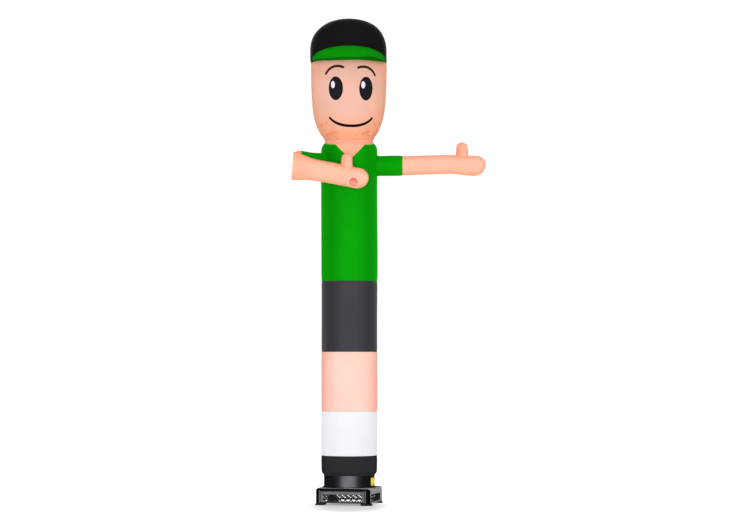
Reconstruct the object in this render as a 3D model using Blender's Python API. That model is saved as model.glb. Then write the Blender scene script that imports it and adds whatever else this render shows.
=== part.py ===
"""Inflatable air dancer on its blower: a blown-up tube man of sewn nylon, one arm out and one folded.

The tube stands on +Z and the figure looks towards -Y. Sizes are in metres. Every cloth piece is a
panel that a maker cuts and sews, 2 mm thick, and panels that are sewn together lie a hair apart.
"""

import math

import bmesh
import bpy
from mathutils import Matrix, Vector

# Cloth and joints
CLOTH = 0.002  # thickness of one layer
GAP = 0.0003  # between pieces that touch
COLUMNS = 40  # facets round the tube
FACING = math.radians(3.5)  # the figure is turned this far towards its left arm

# Heights of the seams of the tube
HEM_Z = 0.279  # lower edge of the cuff, gathered on the duct
CUFF_FULL_Z = 0.320  # where the cuff has widened to the body
SOCK_Z = 0.447
LEG_Z = 0.852
SHORTS_Z = 1.400
SHIRT_Z = 2.051
CHEST_Z = 3.000  # the rows of the shirt above this one follow its neckline
SHOULDER_Z = 3.274  # where the shoulders start to round
COLLAR_Z = 3.330
NECK_Z = 3.348
CAP_Z = 4.076
CAP_SIDE_Z = 4.100  # the cap has its full width from here up
CROWN_Z = 4.237  # where the side of the cap turns into its dome
TOP_Z = 4.500

# Radii of the tube
BODY_R = 0.2555
HEAD_R = 0.350
SEAM_PINCH = 0.003  # how far a seam draws the tube in
SEAM_REACH = 0.018  # height over which it does
SEAM_LEAD = 1.6 * SEAM_REACH  # the cloth is back to its full width this far from a seam

# Neckline of the shirt: a V that is open at the front
V_TIP_Z = 3.135
V_HALF_ANGLE = 5 * 2 * math.pi / COLUMNS  # five columns each side of the front
COLLAR_DIP = 0.014  # the collar lies this much lower at the front than at the back

# Duct and blower
DUCT_R = 0.233
DUCT_WALL = 0.003
DUCT_TOP_Z = 0.405
FLANGE_R = 0.246
FLANGE_HEIGHT = 0.006
BASE_SIDE = 0.515
BASE_TOP_Z = 0.155
BASE_TURN = math.radians(-14)  # the blower stands turned under the figure
BASE_WALL = 0.004
CORNER_ROUND = 0.045  # of the housing's upright edges
TOP_ROUND = 0.022  # of its top edge
SKIRT_Z = 0.020  # lower edge of the housing, on top of its feet
PANEL_BORDER = 0.014  # rounded border round each sunk side panel
PANEL_RECESS = 0.006
OUTLET_R = 0.2245
OPENING_WIDTH = 0.368
OPENING_LOW_Z = 0.030
OPENING_HIGH_Z = 0.098
FOOT_SIDE = 0.088
FOOT_FLARE = 0.010
GLAND_R = 0.009
GLAND_X = -0.120
GLAND_LENGTH = 0.020

# Mesh of the intake guards
CELL_WIDTH = 0.052
CELL_HEIGHT = 0.036
CELLS_ACROSS = 7
MESH_STRAND = 0.005
MESH_THICKNESS = 0.003
GUARD_OVERLAP = 0.007  # the guard reaches this far past its opening

# Sticker on the duct, plain
STICKER_LOW_Z = 0.170
STICKER_HIGH_Z = 0.247
STICKER_FROM = math.radians(57)
STICKER_TO = math.radians(97)
STICKER_THICKNESS = 0.001

# Profile of the tube: height and radius of each level that needs one
TUBE_PROFILE = (
    # height, radius
    (HEM_Z, DUCT_R + GAP + CLOTH),
    (0.288, 0.2365),
    (0.301, 0.2490),
    (CUFF_FULL_Z, BODY_R),
    (SHOULDER_Z, BODY_R),
    (3.295, 0.2520),
    (3.311, 0.2430),
    (3.322, 0.2300),
    (COLLAR_Z, 0.2185),
    (NECK_Z, 0.2165),
    (3.390, 0.2330),
    (3.425, 0.2575),
    (3.465, 0.2800),
    (3.530, 0.3055),
    (3.680, 0.3300),
    (3.840, 0.3410),
    (3.980, 0.3455),
    (CAP_Z, 0.3475),
    (CAP_SIDE_Z, HEAD_R),
    (CROWN_Z, HEAD_R),
)

# Puckers that run up from the neck seam into the chin
CHIN_PUCKERS = (
    # angle from the front in degrees, depth, half width in degrees
    (-163, 0.008, 8),
    (-128, 0.006, 7),
    (-96, 0.009, 8),
    (-64, 0.006, 7),
    (-36, 0.010, 8),
    (-13, 0.005, 7),
    (21, 0.007, 8),
    (47, 0.010, 8),
    (74, 0.006, 7),
    (103, 0.009, 8),
    (141, 0.007, 8),
    (170, 0.005, 7),
)
PUCKER_Z = 3.405  # height at which they are deepest
PUCKER_REACH = 0.062

# Slow waves of the blown-up cloth
CLOTH_WAVES = (
    # height of the wave, waves round the tube, turn per metre of height, phase
    (0.0016, 3, 2.3, 0.0),
    (0.0010, 5, -3.1, 1.0),
)

# Arms
ARM_R = 0.0840
ARM_Z = 3.129
ARM_FACETS = 16
IN_CHEST = 0.200  # the sleeves start this far from the tube's axis, before they are trimmed to the chest
CHEST_CUT_Z = 2.90  # the shape that trims them starts at this height
SLEEVE_END = 0.491  # of the straight arm, from the tube's axis
WRIST_END = 0.960
HAND_TIP = 1.266
HAND_SHAPE = (
    # share of the way from wrist to tip, radius of the arm times, share of the droop
    (0.00, 0.985, 0.0),
    (0.20, 1.035, 0.5),
    (0.45, 1.090, 0.9),
    (0.66, 1.105, 1.0),
    (0.81, 1.020, 0.7),
    (0.92, 0.760, 0.3),
    (0.98, 0.400, 0.1),
)
STRAIGHT_DROOP = 0.010  # the hand sags by this much below the arm's line
FOLDED_DROOP = 0.018
THUMB_R = 0.054
THUMB_FACETS = 12
THUMB_FROM_TIP = 0.220
THUMB_REACH = 0.205  # from the hand's axis to the thumb's end
VENT_R = 0.045
VENT_FROM_TIP = 0.143
VENT_DROP = 0.040  # the vent lies this far below the hand's axis

# The folded arm: out from the shoulder to a kink, then back across the chest
KINK = Vector((-0.5225, -0.210, 3.106))
FOLDED_TIP = Vector((0.184, -0.391, 2.965))
FOLDED_WRIST = 0.425  # from the kink
KINK_DEPTH = 0.006  # half the thickness of the flattened arm at the kink
FOREARM_DEPTH = 0.062  # half the depth of the forearm, which the fold keeps a little flat
KINK_REACH = 0.090  # the arm has turned out of the fold at this distance from it
SLEEVE_TO_KINK = 0.086

# Visor of the cap
VISOR_COLUMNS = 9  # it reaches this many columns to each side of the front
VISOR_TOP_Z = 4.200  # where its upper face is sewn on, at the front
VISOR_END_Z = 4.108
VISOR_REACH = 0.150  # how far it stands out at the front
VISOR_RIM_Z = 4.056
VISOR_THICKNESS = 0.032


def smoothstep(x):
    """Smooth rise from 0 to 1 as x goes from 0 to 1."""
    x = min(max(x, 0.0), 1.0)
    return x * x * (3 - 2 * x)


def between(table, x):
    """Value at x of a table of (x, value) rows, on straight lines between the rows."""
    for (x0, v0), (x1, v1) in zip(table, table[1:]):
        if x <= x1:
            return v0 + (v1 - v0) * max(x - x0, 0) / (x1 - x0)
    return table[-1][1]


# ---------------------------------------------------------------- materials


def material(name, colour, roughness, metallic=0.0):
    """Principled material with a linear base colour."""
    made = bpy.data.materials.new(name)
    made.use_nodes = True
    shader = made.node_tree.nodes["Principled BSDF"]
    shader.inputs["Base Color"].default_value = (*colour, 1)
    shader.inputs["Roughness"].default_value = roughness
    shader.inputs["Metallic"].default_value = metallic
    made.diffuse_color = (*colour, 1)
    return made


def make_materials():
    """The materials of the whole, each under a short name."""
    return {
        "skin": material("skin nylon", (0.90, 0.52, 0.38), 0.55),
        "green": material("green nylon", (0.002, 0.36, 0.004), 0.50),
        "black": material("black nylon", (0.012, 0.012, 0.013), 0.50),
        "charcoal": material("charcoal nylon", (0.055, 0.058, 0.065), 0.55),
        "white": material("white nylon", (0.88, 0.89, 0.93), 0.55),
        "housing": material("black moulded plastic", (0.035, 0.036, 0.040), 0.35),
        "duct": material("black lacquered steel", (0.020, 0.021, 0.024), 0.22, 0.6),
        "guard": material("black wire mesh", (0.060, 0.062, 0.065), 0.40, 0.5),
        "rubber": material("foot rubber", (0.015, 0.015, 0.016), 0.75),
        "sticker": material("yellow sticker", (0.85, 0.62, 0.01), 0.45),
    }


# ---------------------------------------------------------------- mesh helpers


def loft(bm, rings, caps=False, tip=None):
    """Adds a surface through rings of points of equal count, with a point or flat faces at its ends."""
    loops = [[bm.verts.new(p) for p in ring] for ring in rings]
    for lower, upper in zip(loops, loops[1:]):
        for i, corner in enumerate(lower):
            j = (i + 1) % len(lower)
            bm.faces.new((corner, lower[j], upper[j], upper[i]))
    last = loops[-1]
    if tip is not None:
        end = bm.verts.new(tip)
        for i, corner in enumerate(last):
            bm.faces.new((corner, last[(i + 1) % len(last)], end))
    if caps:
        bm.faces.new(list(reversed(loops[0])))
        if tip is None:
            bm.faces.new(last)
    return bm


def lofted(rings, caps=False, tip=None):
    """Mesh of its own with a surface through rings of points."""
    return loft(bmesh.new(), rings, caps, tip)


def placed(name, bm, finish=None, smooth_below=50):
    """Object from a bmesh, shaded smooth up to an edge angle in degrees."""
    mesh = bpy.data.meshes.new(name)
    bm.to_mesh(mesh)
    bm.free()
    mesh.shade_smooth()
    mesh.set_sharp_from_angle(angle=math.radians(smooth_below))
    made = bpy.data.objects.new(name, mesh)
    bpy.context.scene.collection.objects.link(made)
    if finish:
        mesh.materials.append(finish)
    return made


def thickened(made, thickness=CLOTH):
    """Gives a surface its thickness, inwards from the outer face."""
    solid = made.modifiers.new("thickness", "SOLIDIFY")
    solid.thickness = thickness
    solid.offset = -1
    solid.use_even_offset = True
    return made


def cut(made, cutter, name):
    """Cuts a helper's shape out of an object."""
    step = made.modifiers.new(name, "BOOLEAN")
    step.operation = "DIFFERENCE"
    step.solver = "EXACT"
    step.object = cutter
    return made


def helper(made):
    """Marks an object as a cutter, which isn't a piece of the dancer."""
    made.hide_render = True
    made.display_type = "WIRE"
    return made


def rod(start, end, radius, facets=24):
    """Closed round rod from start to end."""
    axis = (end - start).normalized()
    side = axis.orthogonal().normalized()
    up = axis.cross(side)
    rings = []
    for centre in (start, end):
        turns = (2 * math.pi * i / facets for i in range(facets))
        rings.append([centre + radius * (math.cos(t) * side + math.sin(t) * up) for t in turns])
    return lofted(rings, caps=True)


def rod_cutter(name, start, end, radius, facets=24):
    """Round rod that cuts a hole."""
    return helper(placed(name, rod(start, end, radius, facets)))


# ---------------------------------------------------------------- the tube


def dome_radius(z):
    """Radius of the cap's top, a flattened ball."""
    share = min((z - CROWN_Z) / (TOP_Z - CROWN_Z), 1)
    return HEAD_R * math.sqrt(max(1 - share * share, 0))


def seam_pinch(z):
    """How far the level seams draw the tube in at a height."""
    pull = sum(math.exp(-(((z - seam) / SEAM_REACH) ** 2)) for seam in (SOCK_Z, LEG_Z, SHORTS_Z, SHIRT_Z))
    return SEAM_PINCH * pull


def puckers(angle, z):
    """Depth of the chin's puckers at an angle from the front."""
    degrees = math.degrees(angle)
    depth = 0
    for at, deep, half_width in CHIN_PUCKERS:
        away = (degrees - at + 180) % 360 - 180
        depth += deep * math.exp(-((away / half_width) ** 2))
    return depth * math.exp(-(((z - PUCKER_Z) / PUCKER_REACH) ** 2)) * smoothstep((z - COLLAR_Z) / 0.05)


def unevenness(angle, z):
    """Slow waves of a few millimetres in the blown-up cloth, none at the hem or on the dome's top."""
    wave = sum(high * math.sin(count * angle + rate * z + phase) for high, count, rate, phase in CLOTH_WAVES)
    return wave * smoothstep((z - CUFF_FULL_Z) / 0.10) * smoothstep((TOP_Z - z) / 0.30)


def tube_radius(angle, z):
    """Outer radius of the whole blown-up figure at an angle from the front and a height."""
    if z > CROWN_Z:
        radius = dome_radius(z)
    else:
        radius = between(TUBE_PROFILE, z)
    return radius - seam_pinch(z) - puckers(angle, z) + unevenness(angle, z)


def column_angles():
    """Angles of the tube's columns, starting at the front of the turned figure."""
    return [FACING + 2 * math.pi * i / COLUMNS for i in range(COLUMNS)]


def on_tube(angle, z, radius):
    """Point at an angle from the camera's side, a height and a distance from the tube's axis."""
    return Vector((radius * math.sin(angle), -radius * math.cos(angle), z))


def tube_ring(level, outset=0.0):
    """Ring of points on the figure. The level is a height, or a function of the angle that gives one."""
    ring = []
    for angle in column_angles():
        z = level(angle) if callable(level) else level
        ring.append(on_tube(angle, z, tube_radius(angle, z) + outset))
    return ring


def tube_panel(name, levels, finish, tip=None):
    """Panel of the tube between its first and last level."""
    return thickened(placed(name, lofted([tube_ring(level) for level in levels], tip=tip), finish))


def plain_levels(bottom, top):
    """Levels of a plain panel: its two seams, the cloth just past them and the middle."""
    return (bottom + GAP / 2, bottom + SEAM_LEAD, (bottom + top) / 2, top - SEAM_LEAD, top - GAP / 2)


def neckline(angle):
    """Height of the shirt's upper edge: a level collar with a V at the front."""
    turn = (angle - FACING + math.pi) % (2 * math.pi) - math.pi
    collar = COLLAR_Z - COLLAR_DIP * smoothstep(math.cos(turn))
    if abs(turn) >= V_HALF_ANGLE - 1e-6:
        return collar
    return V_TIP_Z + (collar - V_TIP_Z) * abs(math.sin(turn)) / math.sin(V_HALF_ANGLE)


def make_tube(finishes):
    """The tube's panels from the cuff up, without the shirt."""
    gathered_levels = [z for z, _ in TUBE_PROFILE if z <= CUFF_FULL_Z]
    cuff_levels = [*gathered_levels, SOCK_Z - SEAM_LEAD, SOCK_Z - GAP / 2]
    tube_panel("shoe_cuff", cuff_levels, finishes["black"])
    tube_panel("sock_panel", plain_levels(SOCK_Z, LEG_Z), finishes["white"])
    tube_panel("leg_panel", plain_levels(LEG_Z, SHORTS_Z), finishes["skin"])
    tube_panel("shorts_panel", plain_levels(SHORTS_Z, SHIRT_Z), finishes["charcoal"])
    neck_shares = (0, 0.45, 0.66, 0.80, 0.92, 1)
    neck_levels = [
        lambda angle, s=share: neckline(angle) + GAP + (NECK_Z - GAP / 2 - neckline(angle) - GAP) * s
        for share in neck_shares
    ]
    tube_panel("neck_panel", neck_levels, finishes["skin"])
    face_levels = [z for z, _ in TUBE_PROFILE if NECK_Z < z < CAP_Z]
    tube_panel("face_panel", [NECK_Z + GAP / 2, *face_levels, CAP_Z - GAP / 2], finishes["skin"])
    dome_steps = (20, 40, 62)
    dome_levels = [CROWN_Z + (TOP_Z - CROWN_Z) * math.sin(math.radians(step)) for step in dome_steps]
    crown_levels = [CAP_Z + GAP / 2, CAP_SIDE_Z, CROWN_Z, *dome_levels]
    tube_panel("cap_crown", crown_levels, finishes["black"], tip=Vector((0, 0, TOP_Z)))


def make_shirt(finishes, armholes):
    """The shirt's one panel, with its V and the two holes that the sleeves are sewn round."""
    plain_rows = [SHIRT_Z + GAP / 2, SHIRT_Z + SEAM_LEAD, (SHIRT_Z + CHEST_Z) / 2, CHEST_Z]
    shares = (0.45, 0.84, 0.905, 0.95, 0.98, 1)
    upper_rows = [
        lambda angle, s=share: CHEST_Z + (neckline(angle) - CHEST_Z) * s for share in shares
    ]
    shirt = tube_panel("shirt_panel", [*plain_rows, *upper_rows], finishes["green"])
    for side, (start, end) in armholes.items():
        hole = rod_cutter(f"armhole_{side}_cutter", start, end, ARM_R - CLOTH, ARM_FACETS)
        cut(shirt, hole, f"armhole {side}")
    return shirt


def chest_cutter():
    """The chest as one closed solid, a hair larger, which trims the sleeves to it."""
    levels = (CHEST_CUT_Z, CHEST_Z, (CHEST_Z + SHOULDER_Z) / 2, SHOULDER_Z)
    rings = [tube_ring(level, outset=GAP) for level in levels]
    return helper(placed("chest_cutter", lofted(rings, caps=True)))


def make_visor(finish):
    """Padded brim that is sewn to the cap's side: a crescent from temple to temple."""
    forward = Vector((math.sin(FACING), -math.cos(FACING), 0))
    rings = []
    for column in range(-VISOR_COLUMNS, VISOR_COLUMNS + 1):
        turn = 2 * math.pi * column / COLUMNS
        angle = FACING + turn
        share = math.cos(turn * 0.25 * COLUMNS / (VISOR_COLUMNS + 0.6))  # 1 at the front, near 0 at the ends
        top = VISOR_END_Z + (VISOR_TOP_Z - VISOR_END_Z) * share
        rim_z = VISOR_END_Z - 0.5 * VISOR_THICKNESS + (VISOR_RIM_Z - VISOR_END_Z) * share
        thick = VISOR_THICKNESS * (0.4 + 0.6 * share)
        reach = VISOR_REACH * share**0.8
        section = (
            # how far forward of the head, height
            (0, top - thick),
            (0.50 * reach, 0.58 * top + 0.42 * rim_z - thick),
            (0.88 * reach, 0.20 * top + 0.80 * rim_z - 0.55 * thick),
            (reach, rim_z),
            (0.90 * reach, 0.30 * top + 0.70 * rim_z + 0.20 * thick),
            (0.50 * reach, 0.74 * top + 0.26 * rim_z + 0.10 * thick),
            (0, top),
        )
        ring = []
        for out, z in section:
            radius = max(tube_radius(angle, z), tube_radius(angle, CAP_SIDE_Z)) + GAP
            ring.append(on_tube(angle, z, radius) + forward * out)
        rings.append(ring)
    bm = lofted(rings, caps=True)
    bmesh.ops.recalc_face_normals(bm, faces=bm.faces)
    return placed("cap_visor", bm, finish)


# ---------------------------------------------------------------- arms


def stadium(depth, radius, facets):
    """Outline of a blown-up sleeve of a given round radius, pressed to half this depth.

    Its length stays that of the round one, so it grows higher as it gets thinner.
    """
    half_height = depth + (radius - depth) * math.pi / 2
    straight = half_height - depth
    quarter = math.pi * radius / 2
    points = []
    for i in range(facets):
        along = 4 * quarter * i / facets  # from the middle of the front, going up
        side = 1
        if quarter < along <= 3 * quarter:
            along, side = 2 * quarter - along, -1
        elif along > 3 * quarter:
            along -= 4 * quarter
        up = math.copysign(1, along)
        run = abs(along)
        if run <= straight:
            points.append((side * depth, up * run))
        else:
            turn = min((run - straight) / depth, math.pi / 2)
            points.append((side * depth * math.cos(turn), up * (straight + depth * math.sin(turn))))
    return points


def arm_ring(centre, out, up, depth, radius, facets=ARM_FACETS, outset=0.0):
    """Ring of an arm: out points to its front face and up along its height."""
    ring = []
    for x, y in stadium(depth, radius, facets):
        reach = math.hypot(x, y)
        grow = (reach + outset) / reach
        ring.append(centre + out * x * grow + up * y * grow)
    return ring


class Limb:
    """A straight run of an arm: a line, and the directions of its front face and its height."""

    def __init__(self, start, tip, front):
        self.start = start
        self.tip = tip
        self.along = (tip - start).normalized()
        self.up = self.along.cross(front).normalized()
        self.front = self.up.cross(self.along)
        if self.up.z < 0:
            self.up.negate()

    def ring(self, distance, depth, radius, facets=ARM_FACETS, outset=0.0, droop=0.0):
        centre = self.start + self.along * distance - self.up * droop
        ring = arm_ring(centre, self.front, self.up, depth, radius, facets, outset)
        if self.front.cross(self.up).dot(self.along) < 0:
            ring.reverse()
        return ring


def hand_rings(limb, wrist, length, depth_share, droop, outset=0.0):
    """Rings of a hand from its wrist seam to near its tip."""
    rings = []
    for share, times, droop_share in HAND_SHAPE:
        radius = ARM_R * times
        at = wrist + share * length
        rings.append(limb.ring(at, radius * depth_share, radius, outset=outset, droop=droop * droop_share))
    return rings


def make_hand(side, limb, wrist, length, depth_share, droop, vent_front, finish):
    """Hand with its thumb and the vent that lets the air out."""
    tip = limb.start + limb.along * (wrist + length)
    bare = lofted(hand_rings(limb, wrist, length, depth_share, droop), tip=tip)
    hand = thickened(placed(f"hand_{side}", bare, finish))
    grown_rings = hand_rings(limb, wrist, length, depth_share, droop, outset=GAP)
    grown = lofted(grown_rings, caps=True, tip=tip + limb.along * GAP)
    hand_cutter = helper(placed(f"hand_{side}_cutter", grown))
    root = limb.start + limb.along * (wrist + length - THUMB_FROM_TIP)
    upright = Vector((0, 0, 1))
    thumb_limb = Limb(root, root + upright, limb.along)
    thumb_rings = [
        thumb_limb.ring(at, radius, radius, THUMB_FACETS)
        for at, radius in (
            # distance from the hand's axis, radius
            (0.5 * ARM_R, THUMB_R),
            (THUMB_REACH - 1.04 * THUMB_R, THUMB_R),
            (THUMB_REACH - 0.60 * THUMB_R, THUMB_R * 0.90),
            (THUMB_REACH - 0.26 * THUMB_R, THUMB_R * 0.66),
            (THUMB_REACH - 0.07 * THUMB_R, THUMB_R * 0.35),
        )
    ]
    thumb = placed(f"thumb_{side}", lofted(thumb_rings, tip=root + upright * THUMB_REACH), finish)
    cut(thickened(thumb), hand_cutter, "trim to the hand")
    thumb_end = root + upright * THUMB_REACH
    cut(hand, rod_cutter(f"thumb_{side}_hole", root, thumb_end, THUMB_R - CLOTH, THUMB_FACETS), "thumb hole")
    vent_centre = limb.start + limb.along * (wrist + length - VENT_FROM_TIP) - limb.up * VENT_DROP
    vent = rod_cutter(f"vent_{side}_cutter", vent_centre, vent_centre + vent_front * 0.2, VENT_R)
    cut(hand, vent, "vent")
    return hand


def make_straight_arm(finishes, chest):
    """The arm that stands straight out at the figure's left."""
    limb = Limb(Vector((0, 0, ARM_Z)), Vector((HAND_TIP, 0, ARM_Z)), Vector((0, -1, 0)))
    sleeve_shape = ((IN_CHEST, 1.03), (SLEEVE_END - GAP / 2, 1.02))
    arm_shape = (
        # distance from the tube's axis, radius of the arm times
        (SLEEVE_END + GAP / 2, 1.010),
        (0.65, 1.000),
        (0.85, 0.990),
        (WRIST_END - GAP / 2, 0.985),
    )
    sleeve_rings = [limb.ring(x, ARM_R * times, ARM_R * times) for x, times in sleeve_shape]
    sleeve = thickened(placed("sleeve_straight", lofted(sleeve_rings), finishes["green"]))
    cut(sleeve, chest, "trim to the chest")
    arm_rings = [limb.ring(x, ARM_R * times, ARM_R * times) for x, times in arm_shape]
    thickened(placed("arm_straight", lofted(arm_rings), finishes["skin"]))
    wrist = WRIST_END + GAP / 2
    length = HAND_TIP - wrist
    make_hand("straight", limb, wrist, length, 1.0, STRAIGHT_DROOP, -limb.front, finishes["skin"])


class Kink:
    """The fold of an arm: two runs that meet, each flatter the nearer it is to the fold."""

    def __init__(self, upper, forearm):
        self.outward = -(upper.along + forearm.along).normalized()
        self.crease = (upper.up + forearm.up).normalized()
        self.slope = math.tan(upper.along.xy.angle(forearm.along.xy) / 2)

    def depth(self, distance, full_depth):
        """Half depth of a run: what fits beside the other run, or its own full depth if that is less."""
        room = max(KINK_DEPTH, distance * self.slope - 2 * CLOTH)
        return room * full_depth / (room**8 + full_depth**8) ** 0.125

    def ring(self, limb, distance, full_depth):
        turned = smoothstep(distance / KINK_REACH)
        out = self.outward.lerp(limb.front, turned).normalized()
        up = self.crease.lerp(limb.up, turned).normalized()
        centre = limb.start + limb.along * distance
        return arm_ring(centre, out, up, self.depth(distance, full_depth), ARM_R)


def make_folded_arm(finishes, chest):
    """The arm at the figure's right, which kinks flat and comes back across the chest."""
    shoulder = Vector((0, 0, ARM_Z))
    camera_side = Vector((0, -1, 0))
    upper = Limb(KINK, shoulder, -camera_side)
    forearm = Limb(KINK, FOLDED_TIP, camera_side)
    kink = Kink(upper, forearm)
    in_chest = (shoulder - KINK).length - IN_CHEST
    sleeve_steps = (in_chest, 0.33, 0.28, 0.24, 0.20, 0.15, 0.11, SLEEVE_TO_KINK + GAP / 2)
    sleeve_rings = [kink.ring(upper, d, ARM_R) for d in sleeve_steps]
    sleeve = thickened(placed("sleeve_folded", lofted(sleeve_rings), finishes["green"]))
    cut(sleeve, chest, "trim to the chest")
    upper_steps = (SLEEVE_TO_KINK - GAP / 2, 0.055, 0.028, 0.008)
    forearm_steps = (0.008, 0.028, 0.055, 0.085, 0.12, 0.16, 0.20, 0.24, 0.31, FOLDED_WRIST - GAP / 2)
    arm_rings = [kink.ring(upper, d, ARM_R) for d in upper_steps]
    arm_rings += [kink.ring(forearm, d, FOREARM_DEPTH) for d in forearm_steps]
    thickened(placed("arm_folded", lofted(arm_rings), finishes["skin"]))
    wrist = FOLDED_WRIST + GAP / 2
    length = (FOLDED_TIP - KINK).length - wrist
    vent_front = (forearm.front - 0.25 * forearm.up).normalized()
    flat = FOREARM_DEPTH / ARM_R
    make_hand("folded", forearm, wrist, length, flat, FOLDED_DROOP, vent_front, finishes["skin"])


# ---------------------------------------------------------------- the blower


def make_duct(finishes):
    """Round outlet that the cuff is gathered on, with the flange that holds it to the housing."""
    top = BASE_TOP_Z + GAP
    outline = (
        # radius, height: up the inside and down the outside
        (DUCT_R - DUCT_WALL, top),
        (DUCT_R - DUCT_WALL, DUCT_TOP_Z),
        (DUCT_R, DUCT_TOP_Z),
        (DUCT_R, top + FLANGE_HEIGHT),
        (FLANGE_R, top + FLANGE_HEIGHT),
        (FLANGE_R, top),
    )
    rings = [[on_tube(a, z, r) for a in column_angles()] for r, z in outline]
    bm = lofted([*rings, rings[0]])
    bmesh.ops.remove_doubles(bm, verts=bm.verts, dist=1e-6)
    bmesh.ops.recalc_face_normals(bm, faces=bm.faces)
    placed("duct_ring", bm, finishes["duct"], smooth_below=30)


def make_sticker(finish):
    """Plain yellow sticker on the duct's side."""
    angles = [angle for angle in column_angles() if STICKER_FROM < angle < STICKER_TO]
    inner = DUCT_R + GAP
    outer = inner + STICKER_THICKNESS
    low, high = STICKER_LOW_Z, STICKER_HIGH_Z
    section = ((inner, low), (outer, low), (outer, high), (inner, high))
    bm = lofted([[on_tube(angle, z, r) for r, z in section] for angle in angles], caps=True)
    bmesh.ops.recalc_face_normals(bm, faces=bm.faces)
    placed("duct_sticker", bm, finish)


def side_turns():
    """The housing's four sides, each as its name and the turn that brings the front to it."""
    return [(name, BASE_TURN + math.pi / 2 * i) for i, name in enumerate(("front", "right", "back", "left"))]


def box(name, size, centre, turn, finish=None):
    """Closed box with its centre given before it is turned about the tube's axis."""
    bm = bmesh.new()
    bmesh.ops.create_cube(bm, size=1, matrix=Matrix.Diagonal((*size, 1)))
    bmesh.ops.translate(bm, verts=bm.verts, vec=centre)
    bmesh.ops.rotate(bm, verts=bm.verts, cent=(0, 0, 0), matrix=Matrix.Rotation(turn, 3, "Z"))
    return placed(name, bm, finish, smooth_below=40)


def make_housing(finishes):
    """Moulded square housing, open below, with a sunk panel and an air intake in each side."""
    bm = bmesh.new()
    height = BASE_TOP_Z - SKIRT_Z - GAP
    bmesh.ops.create_cube(bm, size=1, matrix=Matrix.Diagonal((BASE_SIDE, BASE_SIDE, height, 1)))
    bmesh.ops.translate(bm, verts=bm.verts, vec=(0, 0, SKIRT_Z + GAP + height / 2))
    upright = [e for e in bm.edges if abs(e.verts[0].co.z - e.verts[1].co.z) > 0.5 * height]
    bmesh.ops.bevel(bm, geom=upright, offset=CORNER_ROUND, segments=4, affect="EDGES", profile=0.5)
    top_edges = list({e for f in bm.faces if f.normal.z > 0.9 for e in f.edges})
    bmesh.ops.bevel(bm, geom=top_edges, offset=TOP_ROUND, segments=3, affect="EDGES", profile=0.5)
    flat_sides = [f for f in bm.faces if abs(f.normal.z) < 0.1 and f.calc_area() > 0.2 * BASE_SIDE * height]
    bmesh.ops.inset_individual(bm, faces=flat_sides, thickness=0.7 * PANEL_BORDER, depth=0)
    bmesh.ops.inset_individual(bm, faces=flat_sides, thickness=0.3 * PANEL_BORDER, depth=-PANEL_RECESS)
    bottom = [f for f in bm.faces if f.normal.z < -0.9]
    bmesh.ops.delete(bm, geom=bottom, context="FACES_ONLY")
    bmesh.ops.rotate(bm, verts=bm.verts, cent=(0, 0, 0), matrix=Matrix.Rotation(BASE_TURN, 3, "Z"))
    housing = thickened(placed("blower_housing", bm, finishes["housing"], smooth_below=40), BASE_WALL)
    below, above = Vector((0, 0, SKIRT_Z)), Vector((0, 0, BASE_TOP_Z + SKIRT_Z))
    cut(housing, rod_cutter("outlet_cutter", below, above, OUTLET_R, COLUMNS), "air outlet")
    middle_z = (OPENING_LOW_Z + OPENING_HIGH_Z) / 2
    size = (OPENING_WIDTH, 0.1 * BASE_SIDE, OPENING_HIGH_Z - OPENING_LOW_Z)
    for side, turn in side_turns():
        opening = helper(box(f"intake_{side}_cutter", size, (0, -BASE_SIDE / 2, middle_z), turn))
        cut(housing, opening, f"intake {side}")


def mesh_cells(middle, depth, height):
    """Diamond holes of one guard as a bmesh of closed cutters, before it is turned into its side."""
    bm = bmesh.new()
    half_width = (CELL_WIDTH - 1.4 * MESH_STRAND) / 2
    half_height = (CELL_HEIGHT - 1.2 * MESH_STRAND) / 2
    rim = height / 2 - MESH_STRAND
    rows = 2 * int(rim / (CELL_HEIGHT / 2)) + 1
    for row in range(rows):
        z = (row - (rows - 1) / 2) * CELL_HEIGHT / 2
        count = CELLS_ACROSS - row % 2
        up, down = min(half_height, rim - z), min(half_height, rim + z)
        for column in range(count):
            x = (column - (count - 1) / 2) * CELL_WIDTH
            corners = ((x - half_width, z), (x, z - down), (x + half_width, z), (x, z + up))
            ends = (depth + 2 * MESH_THICKNESS, depth - 2 * MESH_THICKNESS)
            loft(bm, [[Vector((cx, y, middle + cz)) for cx, cz in corners] for y in ends], caps=True)
    bmesh.ops.recalc_face_normals(bm, faces=bm.faces)
    return bm


def make_guard(side, turn, finish):
    """Guard of one intake: a plate of diamond mesh behind the housing's wall."""
    width = OPENING_WIDTH + 2 * GUARD_OVERLAP
    low = OPENING_LOW_Z - GUARD_OVERLAP / 2
    height = OPENING_HIGH_Z + GUARD_OVERLAP - low
    depth = -BASE_SIDE / 2 + PANEL_RECESS + BASE_WALL + GAP + MESH_THICKNESS / 2
    size = (width, MESH_THICKNESS, height)
    plate = box(f"intake_guard_{side}", size, (0, depth, low + height / 2), turn, finish)
    bm = mesh_cells(low + height / 2, depth, height)
    bmesh.ops.rotate(bm, verts=bm.verts, cent=(0, 0, 0), matrix=Matrix.Rotation(turn, 3, "Z"))
    cut(plate, helper(placed(f"guard_{side}_cells", bm)), "mesh cells")


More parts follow.
